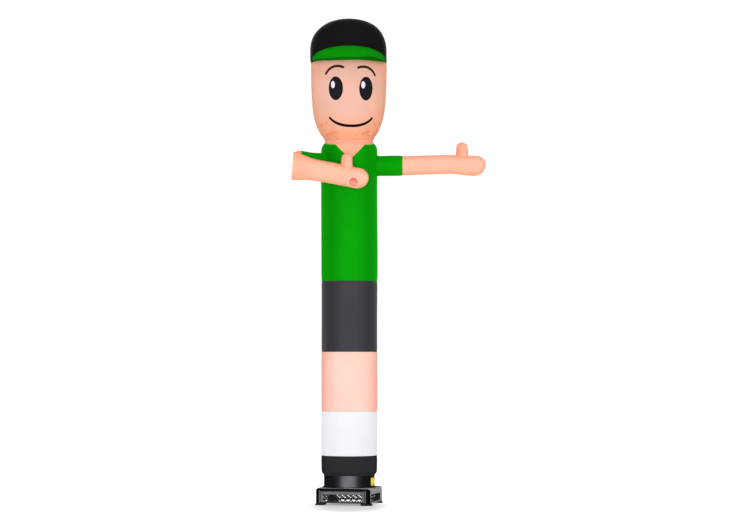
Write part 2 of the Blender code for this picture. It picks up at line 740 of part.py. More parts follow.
def make_feet(finish):
    """Foot under each corner of the housing, wider where it meets the ground."""
    inset = BASE_SIDE / 2 - FOOT_SIDE / 2
    for i, name in enumerate(("front_right", "back_right", "back_left", "front_left")):
        bm = bmesh.new()
        bmesh.ops.create_cube(bm, size=1, matrix=Matrix.Diagonal((FOOT_SIDE, FOOT_SIDE, SKIRT_Z, 1)))
        bmesh.ops.translate(bm, verts=bm.verts, vec=(inset, -inset, SKIRT_Z / 2))
        upright = [e for e in bm.edges if abs(e.verts[0].co.z - e.verts[1].co.z) > SKIRT_Z / 2]
        corner = [e for e in upright if e.verts[0].co.x > inset and e.verts[0].co.y < -inset]
        bmesh.ops.bevel(bm, geom=corner, offset=CORNER_ROUND, segments=4, affect="EDGES", profile=0.5)
        for vert in bm.verts:
            if vert.co.z < SKIRT_Z / 2:
                vert.co.xy *= 1 + FOOT_FLARE / (BASE_SIDE / 2)
        turn = Matrix.Rotation(BASE_TURN + math.pi / 2 * i, 3, "Z")
        bmesh.ops.rotate(bm, verts=bm.verts, cent=(0, 0, 0), matrix=turn)
        placed(f"foot_{name}", bm, finish)


def make_gland(finish):
    """Cable gland in the back of the housing, where the lead of the fan comes out."""
    turn = Matrix.Rotation(BASE_TURN, 3, "Z")
    panel_y = BASE_SIDE / 2 - PANEL_RECESS
    panel_top = BASE_TOP_Z - TOP_ROUND - PANEL_BORDER
    z = (OPENING_HIGH_Z + panel_top) / 2
    start = turn @ Vector((GLAND_X, panel_y + GAP, z))
    end = turn @ Vector((GLAND_X, panel_y + GLAND_LENGTH, z))
    placed("cable_gland", rod(start, end, GLAND_R, 12), finish)


# ---------------------------------------------------------------- the whole


def reach_of(objects):
    """Lowest and highest corner of the finished shapes."""
    bpy.context.view_layer.update()
    graph = bpy.context.evaluated_depsgraph_get()
    low, high = Vector((1e9,) * 3), Vector((-1e9,) * 3)
    for made in objects:
        mesh = made.evaluated_get(graph).to_mesh()
        for vert in mesh.vertices:
            low = Vector(map(min, low, vert.co))
            high = Vector(map(max, high, vert.co))
    return low, high


def stand_on_origin():
    """Moves the whole so that the origin is below the middle of its reach, on the ground."""
    pieces = [made for made in bpy.data.objects if not made.hide_render]
    low, high = reach_of(pieces)
    stand = bpy.data.objects.new("stand", None)
    bpy.context.scene.collection.objects.link(stand)
    for made in list(bpy.data.objects):
        if made is not stand:
            made.parent = stand
    stand.location = (-(low.x + high.x) / 2, -(low.y + high.y) / 2, -low.z)


def main():
    """Clears the scene and makes every piece."""
    for made in list(bpy.data.objects):
        bpy.data.objects.remove(made)
    finishes = make_materials()
    make_tube(finishes)
    middle = Vector((0, 0, ARM_Z))
    armholes = {
        "straight": (middle, Vector((SLEEVE_END, 0, ARM_Z))),
        "folded": (middle, middle.lerp(KINK, 0.7)),
    }
    make_shirt(finishes, armholes)
    chest = chest_cutter()
    make_straight_arm(finishes, chest)
    make_folded_arm(finishes, chest)
    make_visor(finishes["green"])
    make_duct(finishes)
    make_sticker(finishes["sticker"])
    make_housing(finishes)
    for side, turn in side_turns():
        make_guard(side, turn, finishes["guard"])
    make_feet(finishes["rubber"])
    make_gland(finishes["rubber"])
    stand_on_origin()


main()
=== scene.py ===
# Inflatable air dancer on its blower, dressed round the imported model: metres, +Z up, looking to -Y
import math

import bmesh
import bpy
from mathutils import Matrix, Vector
from mathutils.bvhtree import BVHTree


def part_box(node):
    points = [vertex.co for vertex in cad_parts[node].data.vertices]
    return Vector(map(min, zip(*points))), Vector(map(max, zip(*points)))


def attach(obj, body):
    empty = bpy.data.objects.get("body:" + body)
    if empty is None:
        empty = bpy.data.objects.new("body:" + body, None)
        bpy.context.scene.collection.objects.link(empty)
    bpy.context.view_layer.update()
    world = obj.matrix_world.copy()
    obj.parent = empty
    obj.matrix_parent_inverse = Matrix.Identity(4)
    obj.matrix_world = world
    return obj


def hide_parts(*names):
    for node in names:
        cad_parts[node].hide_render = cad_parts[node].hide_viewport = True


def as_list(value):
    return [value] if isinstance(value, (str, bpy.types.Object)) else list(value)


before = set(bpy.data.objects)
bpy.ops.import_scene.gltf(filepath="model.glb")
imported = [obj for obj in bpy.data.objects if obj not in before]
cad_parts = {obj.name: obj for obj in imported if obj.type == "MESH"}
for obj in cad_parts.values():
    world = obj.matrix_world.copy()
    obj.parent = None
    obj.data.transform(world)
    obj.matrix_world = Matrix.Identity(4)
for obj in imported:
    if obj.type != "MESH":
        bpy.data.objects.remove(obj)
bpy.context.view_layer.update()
ductLow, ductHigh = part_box("duct_ring")
tubeAxis = Vector(((ductLow.x + ductHigh.x) / 2, (ductLow.y + ductHigh.y) / 2, 0))
millimetre = 0.001
print("frame loaded")

# Small helpers


def smoothRise(x):
    x = min(max(x, 0.0), 1.0)
    return x * x * (3 - 2 * x)


def bell(x, width):
    return math.exp(-((x / width) ** 2))


def smoothTable(rows):  # smooth curve through rows of (x, value), which never swings past them
    steps = [(b[1] - a[1]) / (b[0] - a[0]) for a, b in zip(rows, rows[1:])]
    slopes = [steps[0]]
    for before, after in zip(steps, steps[1:]):
        slopes.append(0.0 if before * after <= 0 else 2 * before * after / (before + after))
    slopes.append(steps[-1])

    def valueAt(x):
        if x <= rows[0][0]:
            return rows[0][1]
        for i in range(len(rows) - 1):
            x0, v0 = rows[i]
            x1, v1 = rows[i + 1]
            if x <= x1:
                run = x1 - x0
                t = (x - x0) / run
                s, c = t * t, t * t * t
                rise = (c - 2 * s + t) * slopes[i] + (c - s) * slopes[i + 1]
                return v0 * (2 * c - 3 * s + 1) + v1 * (3 * s - 2 * c) + run * rise
        return rows[-1][1]

    return valueAt


def outwards(angle, radius, z=0.0):  # a place at an angle from the front, which looks to -Y
    return Vector((radius * math.sin(angle), -radius * math.cos(angle), z))


def wrapTurn(angle):  # brings an angle between -pi and pi
    return (angle + math.pi) % (2 * math.pi) - math.pi


# The blown-up tube: its seams, its width and its creases

dancer = {
    "columns": 240,
    "fineColumns": 480,  # for the head and neck, where the creases are small
    "facing": math.radians(3.5),  # turned this far towards its left arm
    "hem": 0.265,
    "cuffPleats": 0.286,
    "cuffFull": 0.306,
    "sock": 0.447,
    "leg": 0.852,
    "shorts": 1.400,
    "shirt": 2.051,
    "chest": 3.000,  # rows of the shirt follow the neckline above this height
    "collar": 3.330,
    "neck": 3.348,
    "chinFold": 3.405,
    "cap": 4.076,
    "capSide": 4.100,
    "crown": 4.190,
    "top": 4.492,
    "domeFull": 2.28,  # 2 would be a plain ellipse
    "bodyRadius": 0.2555,
    "headRadius": 0.350,
    "vFacing": math.radians(2.3),
    "vTip": 3.160,
    "vHalf": math.radians(31.5),
    "collarDip": 0.028,
    "cloth": 1.6 * millimetre,
    "gap": 0.3 * millimetre,
}
leans = (
    # metres aside, the height from which it grows, and over what height
    (-0.0075, 3.28, 0.14),  # the head stands this far to its right of the body
    (-0.0045, 4.05, 0.08),  # and the cap a little more
    (0.0065, 4.30, 0.14),  # while its top comes back
)
gathers = {
    # depth of the cloth drawn in, and how far along the cloth that reaches
    "seam": (0.0030, 0.018),
    "seamPucker": (0.00055, 0.020),
    "cuff": (0.0016, 0.016),
    "neck": (0.0011, 0.022),
    "back": (0.0016, 0.009),
    "armSeam": (0.0016, 0.010),
    "armPucker": (0.00050, 0.014),
    "chinReach": 0.062,
}
tubeWidth = smoothTable(
    (
        # height, radius
        (0.265, 0.2355), (0.274, 0.2368), (0.287, 0.2490), (0.306, 0.2555), (0.331, 0.2565),
        (0.447, 0.2580), (1.000, 0.2585), (1.700, 0.2570), (2.051, 0.2590), (2.150, 0.2610),
        (3.250, 0.2610), (3.272, 0.2600), (3.292, 0.2570), (3.308, 0.2500), (3.320, 0.2400),
        (3.330, 0.2290), (3.348, 0.2235), (3.390, 0.2425), (3.412, 0.2595), (3.465, 0.2865),
        (3.530, 0.3100), (3.600, 0.3270), (3.680, 0.3375), (3.740, 0.3420), (3.840, 0.3475),
        (3.980, 0.3505), (4.076, 0.3520), (4.110, 0.3555), (4.200, 0.3555),
    )
)
chinPuckers = (
    # degrees from the front, depth, half width in degrees: gathers that run up from the neck seam
    (-163, 0.008, 8), (-128, 0.006, 7), (-96, 0.009, 8), (-64, 0.006, 7), (-36, 0.010, 8),
    (-13, 0.005, 7), (21, 0.007, 8), (47, 0.010, 8), (74, 0.006, 7), (103, 0.009, 8), (141, 0.007, 8),
    (170, 0.005, 7),
)
# Main creases of the tube: degrees from the front, height, depth in mm (less than 0 stands out),
# half width and half length in mm, and degrees that it leans
tubeCreases = (
    (-62, 3.455, 1.2, 15, 60, 24), (-46, 3.410, 1.4, 12, 48, 10), (-24, 3.400, 1.0, 11, 42, 6),
    (14, 3.400, 1.0, 11, 36, -5), (30, 3.408, 1.3, 12, 46, -12), (48, 3.450, 1.4, 13, 52, -20),
    (66, 3.500, -1.2, 16, 58, -30), (-55, 3.490, -1.2, 16, 60, 30), (96, 3.440, 3.6, 12, 60, -10),
    (125, 3.425, 3.0, 11, 52, 14), (158, 3.430, 3.4, 12, 62, -8), (-110, 3.440, 3.2, 12, 58, 12),
    (-142, 3.420, 2.8, 11, 50, -16), (176, 3.520, 2.0, 16, 90, 22),
    # short wrinkles under the cheeks, where the head is drawn in to the neck
    (-58, 3.493, 5.0, 7, 46, -84), (-46, 3.506, 3.6, 6, 24, -100), (-43, 3.404, 5.4, 7, 34, -66),
    (-32, 3.412, 4.6, 7, 30, -104), (-68, 3.470, 3.8, 6, 40, -70), (-56, 3.400, 4.6, 7, 34, -74),
    (33, 3.412, 5.4, 7, 32, -58), (41, 3.425, 4.6, 7, 28, -98), (51, 3.500, 5.2, 7, 44, 56),
    (48, 3.392, 4.6, 7, 34, 62), (57, 3.597, 3.6, 6, 26, -74), (66, 3.455, 3.8, 6, 40, 66),
    (-6, 3.392, 3.0, 6, 26, -84), (14, 3.388, 3.0, 6, 26, 82), (108, 3.480, 4.4, 6, 38, 60),
    (134, 3.410, 4.4, 6, 36, 76), (160, 3.400, 4.0, 6, 30, -70), (-100, 3.490, 4.4, 6, 38, -58),
    (-130, 3.415, 4.4, 6, 36, -74), (-158, 3.440, 4.0, 6, 30, 64),
    # shirt: pulls round the arms, under the collar and up from the hem
    (64, 3.060, 3.4, 16, 120, 34), (70, 2.955, 2.6, 18, 150, 20), (112, 3.050, 3.2, 16, 110, -32),
    (108, 2.930, 2.2, 18, 140, -16), (-66, 3.060, 3.2, 16, 110, -34), (-74, 2.940, 2.4, 18, 150, -18),
    (-118, 3.050, 3.2, 16, 110, 34), (-109, 2.920, 2.2, 18, 140, 14), (88, 3.262, 2.4, 12, 46, 4),
    (-88, 3.262, 2.6, 12, 46, -6), (52, 3.285, 2.0, 11, 30, 20), (-50, 3.285, 2.0, 11, 30, -18),
    (34, 2.700, 1.4, 26, 260, 3), (-28, 2.520, 1.3, 30, 280, -4), (10, 2.330, -1.1, 34, 240, 2),
    (150, 2.600, 1.5, 28, 260, -3), (-150, 2.450, 1.5, 28, 260, 4), (-12, 2.105, 2.2, 13, 60, 6),
    (31, 2.098, 1.9, 12, 50, -9), (79, 2.108, 2.4, 14, 66, 4), (133, 2.100, 2.0, 12, 54, -6),
    (-57, 2.104, 2.1, 13, 58, 8), (-101, 2.100, 2.3, 12, 60, -5), (-163, 2.106, 2.0, 13, 62, 3),
    # shorts
    (18, 2.000, 2.0, 13, 56, -6), (-33, 1.998, 2.2, 12, 60, 7), (63, 2.002, 1.8, 13, 52, 5),
    (-82, 1.996, 2.1, 12, 58, -8), (117, 2.000, 2.0, 13, 60, 6), (-139, 2.002, 2.0, 13, 56, -4),
    (5, 1.455, 2.0, 13, 58, 5), (-47, 1.452, 2.2, 12, 54, -7), (51, 1.458, 2.1, 13, 60, 8),
    (95, 1.450, 1.9, 12, 50, -5), (-96, 1.455, 2.2, 13, 60, 6), (160, 1.452, 2.0, 12, 56, -8),
    (-22, 1.720, 1.2, 30, 200, 3), (40, 1.660, -1.0, 34, 210, -4),
    # leg and sock
    (-16, 1.345, 1.8, 13, 54, 4), (27, 1.348, 2.0, 12, 50, -7), (72, 1.342, 1.9, 13, 58, 5),
    (-64, 1.346, 2.1, 12, 56, -4), (140, 1.345, 1.9, 13, 56, 8), (-128, 1.343, 1.9, 13, 54, -6),
    (-30, 0.905, 1.9, 12, 54, -6), (14, 0.902, 1.8, 13, 50, 5), (58, 0.906, 2.0, 12, 56, 7),
    (-76, 0.904, 2.0, 13, 58, -5), (108, 0.902, 1.9, 12, 52, 6), (-154, 0.904, 1.9, 13, 54, -7),
    (22, 1.120, 1.0, 32, 170, -3), (-20, 0.800, 1.8, 13, 48, 6), (36, 0.802, 1.9, 12, 52, -5),
    (-60, 0.798, 2.0, 13, 50, 4), (81, 0.800, 1.8, 12, 48, 8), (150, 0.800, 1.9, 13, 50, -6),
    (-10, 0.498, 2.0, 12, 44, -5), (30, 0.500, 2.1, 13, 50, 6), (-48, 0.497, 2.2, 12, 46, 5),
    (68, 0.500, 2.0, 13, 44, -7), (-99, 0.498, 2.0, 12, 48, 6), (120, 0.500, 2.0, 12, 46, -4),
    (-8, 0.655, 0.9, 30, 110, 4),
    # cap: pulls up from its lower edge and over the side of its dome
    (-58, 4.150, 1.8, 16, 60, 14), (48, 4.150, 1.8, 16, 60, -12), (92, 4.160, 2.2, 15, 70, 6),
    (-104, 4.160, 2.2, 15, 70, -8), (140, 4.150, 2.0, 15, 66, 5), (-150, 4.150, 2.0, 15, 66, -4),
    (-30, 4.300, 1.6, 26, 70, 8), (24, 4.320, 1.6, 26, 70, -10), (78, 4.300, 1.8, 24, 70, 6),
    (-82, 4.310, 1.8, 24, 70, -6), (165, 4.300, 1.8, 26, 70, 4),
)
seamNames = ("sock", "leg", "shorts", "shirt", "cap")
levelSeams = [dancer[name] for name in seamNames]
clothWaves = (
    # height, waves round the tube, turn per metre of height, phase
    (0.0016, 3, 2.3, 0.0),
    (0.0010, 5, -3.1, 1.0),
    (0.0006, 9, 4.7, 2.1),
)


def creasesNear(z):  # the creases that reach a height, in metres and radians
    found = []
    for degrees, height, deep, wide, long, lean in tubeCreases:
        if abs(z - height) < 2.6 * long * millimetre:
            tilt = math.radians(lean)
            sizes = (deep * millimetre, wide * millimetre, long * millimetre)
            place = dancer["facing"] + math.radians(degrees)
            found.append((place, height, *sizes, math.cos(tilt), math.sin(tilt)))
    return found


creaseRows = {}


def creased(deep, across, up, tilt, wide, long):  # a crease's depth beside and along its middle
    c, s = tilt
    return deep * bell(across * c + up * s, wide) * bell(up * c - across * s, long)


def creaseDepth(angle, z, radius):
    key = round(z, 3)
    if key not in creaseRows:
        creaseRows[key] = creasesNear(z)
    depth = 0.0
    for place, height, deep, wide, long, *tilt in creaseRows[key]:
        across = wrapTurn(angle - place) * radius
        if abs(across) < 0.25:
            depth += creased(deep, across, z - height, tilt, wide, long)
    return depth


def seamGather(angle, z):  # the pinch of the level seams, with fine puckers on both sides of each
    drawn = 0.0
    (pinch, pinchReach), (pucker, puckerReach) = gathers["seam"], gathers["seamPucker"]
    for index, seam in enumerate(levelSeams):
        away = abs(z - seam)
        if away < 0.09:
            phase = 2.1 * index
            ripple = math.sin(29 * angle + phase) + 0.8 * math.sin(43 * angle + 1.7 * phase)
            ripple += 0.7 * math.sin(17 * angle - phase) + 0.6 * math.sin(61 * angle + 2.9 * phase)
            drawn += pinch * bell(away, pinchReach) + pucker * ripple * math.exp(-away / puckerReach)
    return drawn


def hemGather(angle, z):  # the cuff is drawn in on the duct, so it stands in small pleats there
    away = z - dancer["cuffPleats"]
    pleat = math.sin(37 * angle + 1.5 * math.sin(3 * angle)) + 0.6 * math.sin(53 * angle + 2)
    deep, reach = gathers["cuff"]
    return deep * pleat * bell(away, reach) if abs(away) < 0.06 else 0.0


def neckGather(angle, z):  # small gathers on both sides of the neck seam
    away = abs(z - dancer["neck"])
    if away > 0.10:
        return 0.0
    pleat = math.sin(33 * angle + 1.2 * math.sin(2 * angle)) + 0.7 * math.sin(51 * angle + 1.1)
    deep, reach = gathers["neck"]
    return deep * pleat * math.exp(-away / reach)


def chinPucker(angle, z):
    away = z - dancer["chinFold"]
    if abs(away) > 0.2:
        return 0.0
    degrees = math.degrees(angle)
    depth = sum(deep * bell((degrees - at + 180) % 360 - 180, half) for at, deep, half in chinPuckers)
    return depth * bell(away, gathers["chinReach"]) * smoothRise((z - dancer["collar"]) / 0.05)


def clothWave(angle, z):
    wave = sum(high * math.sin(count * angle + rate * z + phase) for high, count, rate, phase in clothWaves)
    return wave * smoothRise((z - dancer["cuffFull"]) / 0.10) * smoothRise((dancer["top"] - z) / 0.30)


def tubeRadius(angle, z):
    if z > dancer["crown"]:
        share = min((z - dancer["crown"]) / (dancer["top"] - dancer["crown"]), 1)
        full = dancer["domeFull"]
        plain = tubeWidth(dancer["crown"]) * max(1 - share**full, 0) ** (1 / full)
        fade = smoothRise(plain / 0.18)  # no crease stays at the dome's pole
    else:
        plain, fade = tubeWidth(z), 1.0
    deep, reach = gathers["back"]
    drawn = deep * bell(wrapTurn(angle - dancer["facing"] - math.pi) * plain, reach)  # the closing seam
    drawn += seamGather(angle, z) + hemGather(angle, z) + neckGather(angle, z) + chinPucker(angle, z)
    return plain - drawn + fade * (clothWave(angle, z) - creaseDepth(angle, z, max(plain, 0.05)))


def tubeCentre(z):
    lean = sum(aside * smoothRise((z - start) / run) for aside, start, run in leans)
    return tubeAxis + Vector((lean, 0, z))


def onTube(angle, z, lift=0.0):
    return tubeCentre(z) + outwards(angle, tubeRadius(angle, z) + lift)


# Stitches are gathered per thread colour while the pieces are made: a path and its number of stitches
seamRuns = {"green": [], "black": [], "white": [], "skin": [], "charcoal": []}

# Making cloth pieces from a spun tube


def nodeName(name):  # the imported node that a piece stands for: cap_crown for capCrown
    return "".join("_" + letter.lower() if letter.isupper() else letter for letter in name)


def addPiece(name, bm, material, slot, smoothBelow=60, replaced=True):
    mesh = bpy.data.meshes.new(name)
    bm.to_mesh(mesh)
    bm.free()
    mesh.shade_smooth()
    mesh.set_sharp_from_angle(angle=math.radians(smoothBelow))
    mesh.materials.append(material)
    piece = bpy.data.objects.new(name, mesh)
    bpy.context.scene.collection.objects.link(piece)
    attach(piece, "root")
    if replaced:
        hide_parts(nodeName(name))
    return piece


def drawLine(bm, points, closed=False):  # vertices and edges through some points
    verts = [bm.verts.new(point) for point in points]
    ends = verts[1:] + verts[:1] if closed else verts[1:]
    return verts + [bm.edges.new(pair) for pair in zip(verts, ends)]


def spinRound(bm, geom, steps, angle=2 * math.pi):  # round the upright axis
    whole = angle == 2 * math.pi
    bmesh.ops.spin(bm, geom=geom, cent=(0, 0, 0), axis=(0, 0, 1), angle=angle, steps=steps, use_merge=whole)


def spunCloth(turns, rows, place, flat, closedEnd=False):
    # a line of points is spun into a tube, then each point is set by its turn and its row
    bm = bmesh.new()
    spinRound(bm, drawLine(bm, [(1, 0, row) for row in range(rows)]), turns)
    spots = {}
    for vert in bm.verts:
        turn = round(math.atan2(vert.co.y, vert.co.x) / (2 * math.pi) * turns) * 2 * math.pi / turns
        spots[vert] = (wrapTurn(turn), round(vert.co.z))
    layer = bm.loops.layers.uv.new("cloth")
    for face in bm.faces:  # flat place of each corner on the cut cloth, in metres
        first = spots[face.loops[0].vert][0]
        for loop in face.loops:
            turn, row = spots[loop.vert]
            loop[layer].uv = flat(first + wrapTurn(turn - first), row)
    for vert, (turn, row) in spots.items():
        vert.co = place(turn, row)
    if closedEnd:
        bmesh.ops.remove_doubles(bm, verts=bm.verts, dist=0.01 * millimetre)
    bmesh.ops.recalc_face_normals(bm, faces=bm.faces)
    return bm


def besideAxis(face):  # the spot on the tube's axis at a face's height
    return Vector((tubeAxis.x, tubeAxis.y, face.calc_center_median().z))


def facedOut(bm, centre=besideAxis):  # turns an open tube so that its faces look away from its middle
    bm.normal_update()
    outward = sum(face.normal.dot(face.calc_center_median() - centre(face)) for face in bm.faces)
    if outward < 0:
        bmesh.ops.reverse_faces(bm, faces=bm.faces)
    return bm


def thickened(piece, cloth):
    solid = piece.modifiers.new("cloth thickness", "SOLIDIFY")
    solid.thickness = cloth
    solid.offset = -1
    solid.use_even_offset = True
    return piece


hemLift = {"width": 0.0100, "high": 0.0009, "fade": 0.003}  # turned edge, sewn over the next panel


def edgeLift(fromEdge):
    return hemLift["high"] * (1 - smoothRise((fromEdge - hemLift["width"]) / hemLift["fade"]))


# millimetres from a seam to the rows of points beside it
seamSteps = (0, 2.5, 5, 7.5, 10, 11.5, 13, 17, 22, 28, 35, 43, 52, 62, 74, 88)


def panelLevels(bottom, top, coarse=0.030):  # heights of a panel's rows, close together near its two seams
    ends = [step * millimetre for step in seamSteps if step * millimetre < (top - bottom) / 2]
    low, high = bottom + ends[-1], top - ends[-1]
    count = max(1, round((high - low) / coarse))
    middle = [low + (high - low) * i / count for i in range(1, count)]
    return [bottom + d for d in ends] + middle + [top - d for d in reversed(ends)]


def neckline(angle):  # the shirt's upper edge: a level collar with a V at the front
    turn = wrapTurn(angle - dancer["facing"])
    collar = dancer["collar"] - dancer["collarDip"] * smoothRise(math.cos(turn))
    turn = wrapTurn(angle - dancer["vFacing"])
    if abs(turn) >= dancer["vHalf"]:
        return collar
    return dancer["vTip"] + (collar - dancer["vTip"]) * abs(math.sin(turn)) / math.sin(dancer["vHalf"])


foldFull = 4 * millimetre  # a crease this deep has nearly its full painted shade
foldFrom = 0.22  # and one under this share of it has none


def tubePanel(
    name, levels, material, slot, flat, rests,
    area=None, liftLow=True, closedTop=False, fine=False, wide=None,
):
    # levels are heights, or functions that give one for an angle; a fine panel also gets shade painted into
    # its creases
    heights = [level if callable(level) else (lambda angle, z=level: z) for level in levels]
    radius = wide or dancer["bodyRadius"]

    def place(turn, row):
        angle = turn + dancer["facing"]
        z = heights[row](angle)
        return onTube(angle, z, edgeLift(z - heights[0](angle)) if liftLow else 0.0)

    def flatPlace(turn, row):
        return (turn * radius, heights[row](turn + dancer["facing"]))

    columns = dancer["fineColumns" if fine else "columns"]
    bm = spunCloth(columns, len(levels), place, flatPlace, closedTop)
    if fine:  # how deep each point lies in a crease, for the shade painted into the cloth's colour
        layer = bm.verts.layers.float.new("fold")
        for vert in bm.verts:
            away = vert.co - tubeCentre(vert.co.z)
            deep = creaseDepth(math.atan2(away.x, -away.y), vert.co.z, away.xy.length)
            vert[layer] = min(max(deep / foldFull - foldFrom, 0), 1)
    facedOut(bm)
    piece = thickened(addPiece(name, bm, material, slot), dancer["cloth"])


# Materials


def sRgb(hexColour):
    parts = [int(hexColour[i : i + 2], 16) / 255 for i in (1, 3, 5)]
    return tuple(c / 12.92 if c <= 0.04045 else ((c + 0.055) / 1.055) ** 2.4 for c in parts)


def addNode(tree, kind, settings, output=0):
    # settings go by property or socket name; a value that is another node's output is linked
    node = tree.nodes.new("ShaderNode" + kind)
    for key, value in settings.items():
        if isinstance(key, str) and hasattr(node, key):
            setattr(node, key, value)
        elif isinstance(value, bpy.types.NodeSocket):
            tree.links.new(value, node.inputs[key])
        else:
            node.inputs[key].default_value = value
    return node.outputs[output]


def maths(tree, operation, *values):
    return addNode(tree, "Math", {"operation": operation, **dict(enumerate(values))})


def vectorMaths(tree, operation, *values, output="Vector"):
    return addNode(tree, "VectorMath", {"operation": operation, **dict(enumerate(values))}, output)


def ramp(tree, value, first, last, low=0.0, high=1.0, kind="SMOOTHSTEP"):
    span = {"From Min": first, "From Max": last, "To Min": low, "To Max": high}
    return addNode(tree, "MapRange", {"interpolation_type": kind, "Value": value, **span})


def tint(tree, share, under, hexColour):
    return addNode(tree, "Mix", {"data_type": "RGBA", 0: share, 6: under, 7: (*sRgb(hexColour), 1)}, 2)


def noise(tree, place, scale, detail, **more):
    return addNode(tree, "TexNoise", {"Vector": place, "Scale": scale, "Detail": detail, **more}, "Fac")


def bumped(tree, height, strength, millimetres, **more):
    size = {"Strength": strength, "Distance": millimetres * millimetre}
    return addNode(tree, "Bump", {"Height": height, **size, **more})


def flatAxis(tree, uv, axis):  # place on the cut cloth, across or up, in metres
    return addNode(tree, "SeparateXYZ", {"Vector": uv}, axis)


def reachFrom(tree, place, middle, half=(1, 1, 1)):  # distance from a middle, in half sizes
    share = vectorMaths(tree, "DIVIDE", vectorMaths(tree, "SUBTRACT", place, middle), half)
    return vectorMaths(tree, "LENGTH", share, output="Value")


def newMaterial(name, baseHex, roughness, **constants):
    made = bpy.data.materials.new(name)
    made.use_nodes = True
    shader = made.node_tree.nodes["Principled BSDF"]
    base = {"Base Color": (*sRgb(baseHex), 1), "Roughness": roughness, "IOR": 1.5, "Metallic": 0.0}
    for socket, value in {**base, **constants}.items():
        shader.inputs[socket].default_value = value
    made.diffuse_color = base["Base Color"]
    return made, made.node_tree, shader


def dressed(tree, shader, baseHex, drift, shade, gloss, roughness, spread, bump, tone=1.0):
    # colour and gloss that drift slowly, and the relief; gives the colour's output
    drifted = maths(tree, "MULTIPLY", ramp(tree, drift, 0.3, 0.7, 1 - shade, 1 + shade, "LINEAR"), tone)
    colour = addNode(tree, "VectorMath", {"operation": "SCALE", 0: sRgb(baseHex), "Scale": drifted})
    rough = ramp(tree, gloss, 0.3, 0.7, roughness - spread, roughness + spread, "LINEAR")
    for socket, value in {"Base Color": colour, "Roughness": rough, "Normal": bump}.items():
        tree.links.new(value, shader.inputs[socket])
    return colour


nylon = {
    "gridMm": 5.0,  # spacing of the ripstop threads
    "gridBumpMm": 0.35,
    "gridShade": 0.035,
    "crinkleMm": 55,  # size of the soft crinkles in coated nylon
    "crinkleBumpMm": 2.1,
    "roughness": 0.52,
    "specular": 0.04,  # polyurethane coating with an even satin gloss
}


def nylonCloth(kind, baseHex, shade=0.05, over=None, **constants):
    # ripstop grid, slow shade drift and soft crinkles, all on the cloth's own flat coordinates in metres;
    # over is a function that prints or dyes something over the plain colour
    finish = {"Specular IOR Level": nylon["specular"], **constants}
    name = "coated ripstop nylon, " + kind
    made, tree, shader = newMaterial(name, baseHex, nylon["roughness"], **finish)
    uv = addNode(tree, "UVMap", {"uv_map": "cloth"})
    ridges = []
    for axis in "XY":
        cells = maths(tree, "MULTIPLY", flatAxis(tree, uv, axis), 1000 / nylon["gridMm"])
        share = maths(tree, "FRACT", cells)
        away = maths(tree, "ABSOLUTE", maths(tree, "SUBTRACT", share, 0.5))
        ridges.append(ramp(tree, away, 0.16, 0.02))
    grid = maths(tree, "MAXIMUM", *ridges)
    drift = noise(tree, uv, 3.2, 3.0, Roughness=0.5)
    crinkle = noise(tree, uv, 1000 / nylon["crinkleMm"], 4.0, Roughness=0.55, Distortion=0.6)
    bump = bumped(tree, crinkle, 0.35, nylon["crinkleBumpMm"])
    bump = bumped(tree, grid, 0.30, nylon["gridBumpMm"], Normal=bump)
    gridTone = maths(tree, "MULTIPLY_ADD", grid, nylon["gridShade"], 1.0)
    gloss = (crinkle, nylon["roughness"], 0.05)
    colour = dressed(tree, shader, baseHex, drift, shade, *gloss, bump, gridTone)
    if over:
        tree.links.new(over(tree, uv, colour), shader.inputs["Base Color"])
    return made


def paintedCreaseShade(hexColour, strength):
    # painted shade: the colour is made deeper in the creases, by how deep each point lies in one
    def over(tree, uv, colour):
        fold = addNode(tree, "Attribute", {"attribute_name": "fold"}, "Fac")
        return tint(tree, maths(tree, "MULTIPLY", fold, strength), colour, hexColour)

    return over


def paintedSideShade(hexColour, most, turn, first, last):
    # painted shade: a deeper tone between two distances from the middle of the flat cloth, and back again
    # past the turn
    def over(tree, uv, colour):
        aside = maths(tree, "PINGPONG", maths(tree, "ABSOLUTE", flatAxis(tree, uv, "X")), turn)
        return tint(tree, ramp(tree, aside, first, last, 0.0, most), colour, hexColour)

    return over


def paintedBandShade(hexColour, first, last):  # painted shade: a darker band between two places up the flat panel
    def over(tree, uv, colour):
        middle, half = (first + last) / 2, (last - first) / 2
        away = maths(tree, "ABSOLUTE", maths(tree, "SUBTRACT", flatAxis(tree, uv, "Y"), middle))
        return tint(tree, ramp(tree, away, half, half - 0.002), colour, hexColour)

    return over


def sheen(tintHex, weight, roughness=0.45):  # the soft edge light that thin nylon lets through at its sides
    return {"Sheen Weight": weight, "Sheen Roughness": roughness, "Sheen Tint": (*sRgb(tintHex), 1)}


